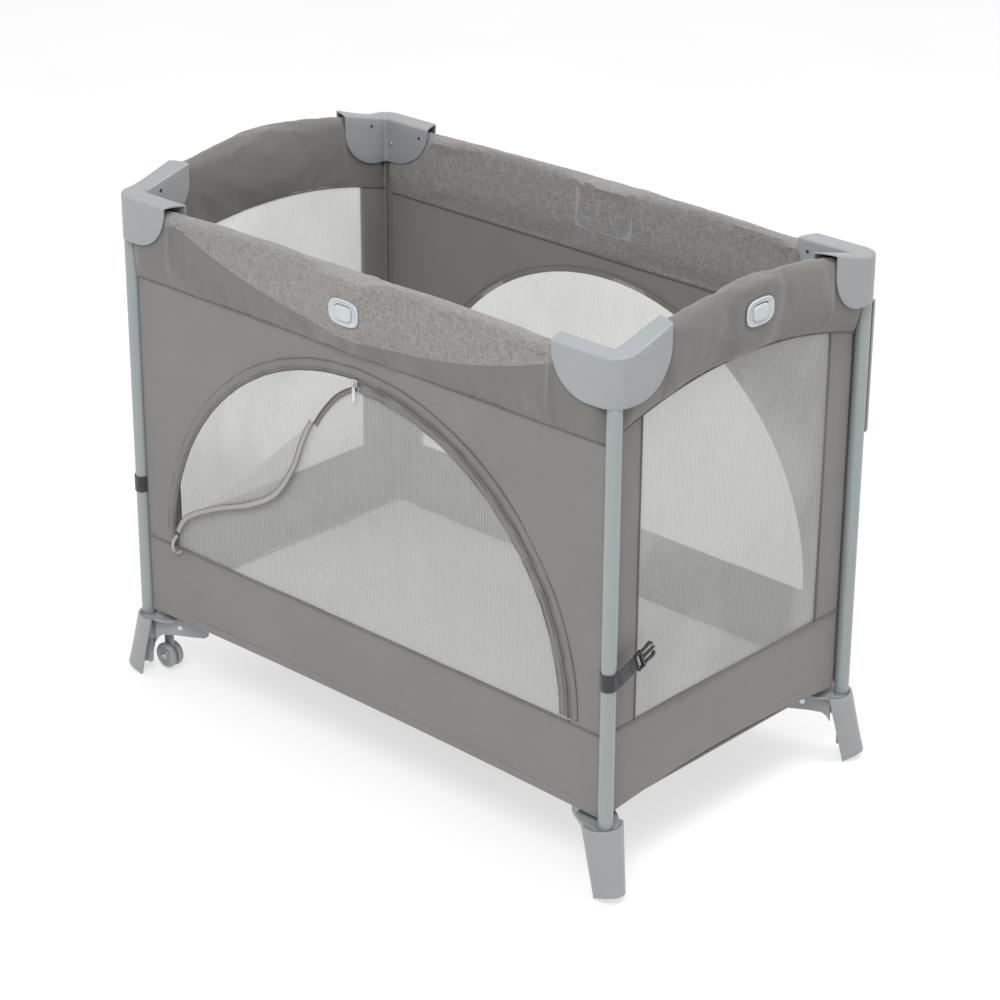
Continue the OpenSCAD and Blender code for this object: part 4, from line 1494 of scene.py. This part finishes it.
def cushion(name, half_x, half_y, corner_r, low, high, rim, look, lines, wave):
    """A closed pad: a rounded rectangle, flat underneath and softly rounded at the rim."""
    xs, ys = edge_steps(half_x, lines[0], rim), edge_steps(half_y, lines[1], rim)
    middle, verts = (low + high) / 2, []
    for sign in (1, -1):
        for x in xs:
            for y in ys:
                dx, dy = abs(x) - half_x + corner_r, abs(y) - half_y + corner_r
                px, py = x, y
                inset = min(half_x - abs(x), half_y - abs(y))
                if dx > 0 and dy > 0:
                    shrink = max(dx, dy) / math.hypot(dx, dy)
                    px = math.copysign(half_x - corner_r + dx * shrink, x)
                    py = math.copysign(half_y - corner_r + dy * shrink, y)
                    inset = corner_r - max(dx, dy)
                round_off = math.sqrt(max(0.0, 1 - max(0.0, 1 - inset / rim) ** 2))
                in_out = 1 - wave * math.exp(-inset / (2 * rim)) * (0.5 + 0.5 * rough(px, py, 0.07, 71))
                verts.append(Vector((px * in_out, py * in_out, middle + sign * (high - middle) * round_off)))
    half = len(xs) * len(ys)
    top = grid_faces(len(xs), len(ys))
    under = [tuple(reversed(f)) for f in grid_faces(len(xs), len(ys), start=half)]
    obj = add_mesh(name, verts, [tuple(reversed(f)) for f in top + under], [look])
    bm = bmesh.new()
    bm.from_mesh(obj.data)
    bmesh.ops.remove_doubles(bm, verts=bm.verts, dist=0.00001)
    bm.to_mesh(obj.data)
    bm.free()
    return obj


def quadrants(obj, node, declare):
    """Splits a pad into four, one riding on each strut."""
    def part_of(centre):
        return f"{obj_name}_{'front' if centre.y < 0 else 'rear'}_{'right' if centre.x > 0 else 'left'}"

    obj_name = obj.name
    for name, piece in split(obj, part_of).items():
        corner = name[len(obj_name) + 1:]
        sx, sy = CORNERS[corner]
        declare(piece)
        ride(piece, f"strut_{corner}", [node])
        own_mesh(piece)


PAD_HALF = (0.4305, 0.2455)
PAD_SHIFT = 9 * MM


def make_mattress():
    """The pad, held underneath and round its rim and swollen on top, pushed against the right wall."""
    low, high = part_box("mattress")[0].z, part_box("mattress")[1].z
    pad = cushion("mattress_pad", *PAD_HALF, 22 * MM, low + 0.3 * MM, high - 1.2 * MM, 9 * MM, PAD, (54, 32),
                  0.006)

    def held(p):
        at_rim = abs(p.x) > PAD_HALF[0] - 1 * MM or abs(p.y) > PAD_HALF[1] - 1 * MM
        return p.z < low + 6 * MM or at_rim

    cloth_settings(pad, [v.index for v in pad.data.vertices if held(v.co)], 1.2, 0.004)
    for vertex in pad.data.vertices:
        vertex.co.x += PAD_SHIFT
    return pad


def finish_mattress(pad):
    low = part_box("mattress")[0].z + 8 * MM

    def dents(p):
        if p.z <= low:
            return 0.0
        return 1.1 * MM * rough(p.x, p.y, 0.16, 81) + 0.35 * MM * rough(p.x, p.y, 0.05, 82)

    crease(pad, dents)
    quadrants(pad, "mattress", lambda piece: piece)


def make_floor_panel():
    low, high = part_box("floor_panel")
    end_x, end_y = high.x + 6 * MM, high.y + 2 * MM
    xs, ys = np.linspace(-end_x, end_x, 61), np.linspace(-end_y, end_y, 37)
    verts = [Vector((x, y, (low.z + high.z) / 2)) for x in xs for y in ys]
    panel = add_mesh("floor_cloth", verts, grid_faces(len(xs), len(ys)), [CLOTH], flip=True)

    def declare(piece):
        thicken(piece, 2.6 * MM, 0.0, 0.8 * MM)

    quadrants(panel, "floor_panel", declare)


# ------------------------------------------------------------------ webbing and buckle

def band_round_post(name, corner, z, turns, radius, lean):
    centre, across = [], []
    count = int(70 * turns)
    for k in range(count):
        a = 2 * math.pi * turns * k / (count - 1)
        r = radius + 1.3 * MM * max(0.0, a / (2 * math.pi) - 0.98)
        sx, sy = CORNERS[corner]
        dz = lean * math.sin(a) + 0.5 * MM * rough(a * 0.05, 0, 0.06, 91)
        centre.append(Vector((sx * HALF_X + r * math.cos(a), sy * HALF_Y + r * math.sin(a), z + dz)))
        across.append(Vector((0, 0, 1)))
    return ribbon(name, centre, across, WEBBING_WIDTH, 1.4 * MM, WEBBING, 0.4 * MM)


STRAP_TILT = math.radians(21)
RIGHT_STRAP_Z = 0.3215
LEFT_STRAP_Z = 0.3185
WEBBING_WIDTH = 25 * MM


def make_straps():
    mid = RIGHT_STRAP_Z
    band = band_round_post("strap_loop_right", "front_right", mid, 1.0, POST_R + 1.1 * MM, 0.6 * MM)
    x = HALF_X + POST_R + 1.4 * MM
    tail = spline([Vector((x, -HALF_Y - 4 * MM, mid)), Vector((x + 0.3 * MM, -HALF_Y + 6 * MM, mid + 2 * MM)),
                   Vector((x + 0.2 * MM, -HALF_Y + 22 * MM, mid + 8 * MM)),
                   Vector((x + 0.6 * MM, -HALF_Y + 40 * MM, mid + 15 * MM))], 26)
    lean = Vector((0, -math.sin(STRAP_TILT), math.cos(STRAP_TILT)))
    across = [Vector((0, 0, 1)).lerp(lean, min(1.0, k / 8)).normalized() for k in range(26)]
    strip = ribbon("strap_tail", tail, across, 24 * MM, 1.6 * MM, WEBBING, 0.4 * MM)
    stitches = []
    for y in (6, 10, 30, 34):
        rise = mid + max(0.0, y - 2) * 0.38 * MM - 10.0 * MM
        points = [Vector((x + 1.2 * MM, -HALF_Y + (y - 0.37 * (k * 2 - 10)) * MM, rise + k * 2.0 * MM))
                  for k in range(11)]
        stitches.append(tube("stitch", points, 0.35 * MM, BLACK, 5))
    strap = join("strap_right_webbing", [band, strip] + stitches)
    ride(strap, "corner_front_right", ["strap_right"])
    left = band_round_post("strap_left_webbing", "front_left", LEFT_STRAP_Z, 1.0, POST_R + 1.1 * MM, 0.8 * MM)
    ride(left, "corner_front_left", ["strap_left"])
    make_buckle(mid + 13.6 * MM)
    make_pull_strap()


def make_buckle(mid):
    """The plug half of a side-release buckle: a bar frame and three prongs."""
    low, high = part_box("buckle")
    x = (low.x + high.x) / 2
    y0 = low.y

    def part(outline, half, rim=0.9 * MM):
        c, s = math.cos(STRAP_TILT), math.sin(STRAP_TILT)
        return prism("buckle_part", in_metres(outline),
                     lambda a, b, t: Vector((x + t, y0 + a * c - b * s, mid + a * s + b * c)), half,
                     BLACK, rim)

    frame_parts = [part([(0, -13.5), (3.2, -13.5), (3.2, 13.5), (0, 13.5)], 2.2 * MM),
                   part([(9.5, -13.5), (14, -13.5), (14, 13.5), (9.5, 13.5)], 2.9 * MM),
                   part([(0, -13.5), (14, -13.5), (14, -10.5), (0, -10.5)], 2.6 * MM),
                   part([(0, 10.5), (14, 10.5), (14, 13.5), (0, 13.5)], 2.6 * MM),
                   part([(13, -2.4), (36, -1.9), (39, 0), (36, 1.9), (13, 2.4)], 1.8 * MM)]
    for s in (-1, 1):
        prong = [(13, 8.2), (13, 12.2), (22, 11.6), (27, 13.4), (33, 13.2), (37, 8.6), (36, 6.6),
                 (33, 6.4), (31, 9), (24, 8.6)]
        frame_parts.append(part([(a, s * b) for a, b in prong], 1.9 * MM, 0.7 * MM))
    ride(join("buckle_plug", frame_parts), "corner_front_right", ["buckle"])


def make_pull_strap():
    low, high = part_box("pull_strap")
    z0, z1 = low.z + 0.9 * MM, high.z - 0.9 * MM
    half = high.x - 1 * MM
    loop = [Vector((x, 0, z0)) for x in np.linspace(-half, half, 30)]
    back = np.linspace(half - 1 * MM, -half, 30)
    loop += [Vector((x, 0, z1 + 0.2 * MM * rough(x, 0, 0.03, 95))) for x in back]
    loop += [Vector((-half, 0, (z0 + z1) / 2))]
    strap = ribbon("pull_strap_webbing", loop, [(0, 1, 0)] * len(loop), 24.6 * MM, 1.4 * MM, WEBBING,
                   0.4 * MM)
    ride(strap, "hub", ["pull_strap"])


# ------------------------------------------------------------------ stage

def area_light(name, place, towards, size, power):
    light = bpy.data.lights.new(name, "AREA")
    light.shape = "SQUARE"
    light.size = size
    light.energy = power
    obj = bpy.data.objects.new(name, light)
    bpy.context.scene.collection.objects.link(obj)
    obj.location = place
    obj.rotation_euler = (Vector(towards) - Vector(place)).to_track_quat("-Z", "Y").to_euler()


def make_stage():
    verts = [(-30, -30, 0), (30, -30, 0), (30, 30, 0), (-30, 30, 0)]
    floor = add_mesh("studio_floor", verts, [(0, 1, 2, 3)], [FLOOR])
    scene = bpy.context.scene
    world = bpy.data.worlds.new("studio")
    world.use_nodes = True
    world.node_tree.nodes["Background"].inputs["Color"].default_value = (1.0, 1.0, 1.0, 1)
    world.node_tree.nodes["Background"].inputs["Strength"].default_value = 0.78
    scene.world = world
    scene.view_settings.view_transform = "Standard"
    area_light("key", (1.4, -2.4, 3.6), (0, 0, 0.4), 1.8, 98)
    area_light("fill", (-3.0, -1.6, 1.8), (0, 0, 0.4), 2.0, 18)
    area_light("back", (1.2, 1.2, 4.2), (0, 0, 0.2), 1.8, 70)


def make_camera():
    azimuth, elevation = math.radians(43.55), math.radians(23.57)
    back = Vector((math.sin(azimuth) * math.cos(elevation), -math.cos(azimuth) * math.cos(elevation),
                   math.sin(elevation)))
    right = Vector((math.cos(azimuth), math.sin(azimuth), 0))
    up = back.cross(right)
    lens = bpy.data.cameras.new("camera")
    lens.lens = 103.84
    lens.sensor_width = 36
    lens.shift_x = 0.0394
    lens.shift_y = -0.054
    camera = bpy.data.objects.new("camera", lens)
    bpy.context.scene.collection.objects.link(camera)
    turn = Matrix((right, up, back)).transposed()
    place = back * 4.3322 + right * -0.0373 + up * 0.4097 - Vector((0, 0, 0.015))
    camera.matrix_world = Matrix.Translation(place) @ turn.to_4x4()
    bpy.context.scene.camera = camera


# ------------------------------------------------------------------ building

def build():
    sleeves = {wall: sleeve_mesh(wall) for wall in WALLS}
    pad = make_mattress()
    limits = {obj: 5 * MM for obj in sleeves.values()}
    limits[pad] = 3 * MM
    simulate(limits)
    for wall, obj in sleeves.items():
        finish_sleeve(obj, wall)
    finish_mattress(pad)
    make_floor_panel()
    for wall in WALLS:
        if is_long(wall):
            make_long_panel(wall)
        else:
            make_short_panel(wall)
        make_wall_seams(wall)
    make_window_nets()
    make_back_window_trim()
    make_door()
    for corner in CORNERS:
        make_corner_strip(corner)
        make_cap(corner)
        make_foot(corner, "left" in corner)
        dress(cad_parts[f"post_{corner}"], PAINT)
        dress(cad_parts[f"strut_{corner}"], PAINT)
        make_rivets(corner, "left" in corner)
    for node in ("wheel_front", "wheel_rear"):
        make_wheel(node)
    for wall in WALLS:
        make_latch(wall)
        dress(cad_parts[f"latch_pins_{wall}"], STEEL)
    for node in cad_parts:
        if node.startswith("rail_"):
            dress(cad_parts[node], PAINT)
    soften("hub_body", 1.5 * MM, PLASTIC)
    dress(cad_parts["hub_pins"], STEEL)
    soften("hub_foot", 1.2 * MM, RUBBER)
    soften("rear_post_strip", 1.0 * MM, PLASTIC)
    make_straps()


build()
make_stage()
make_camera()
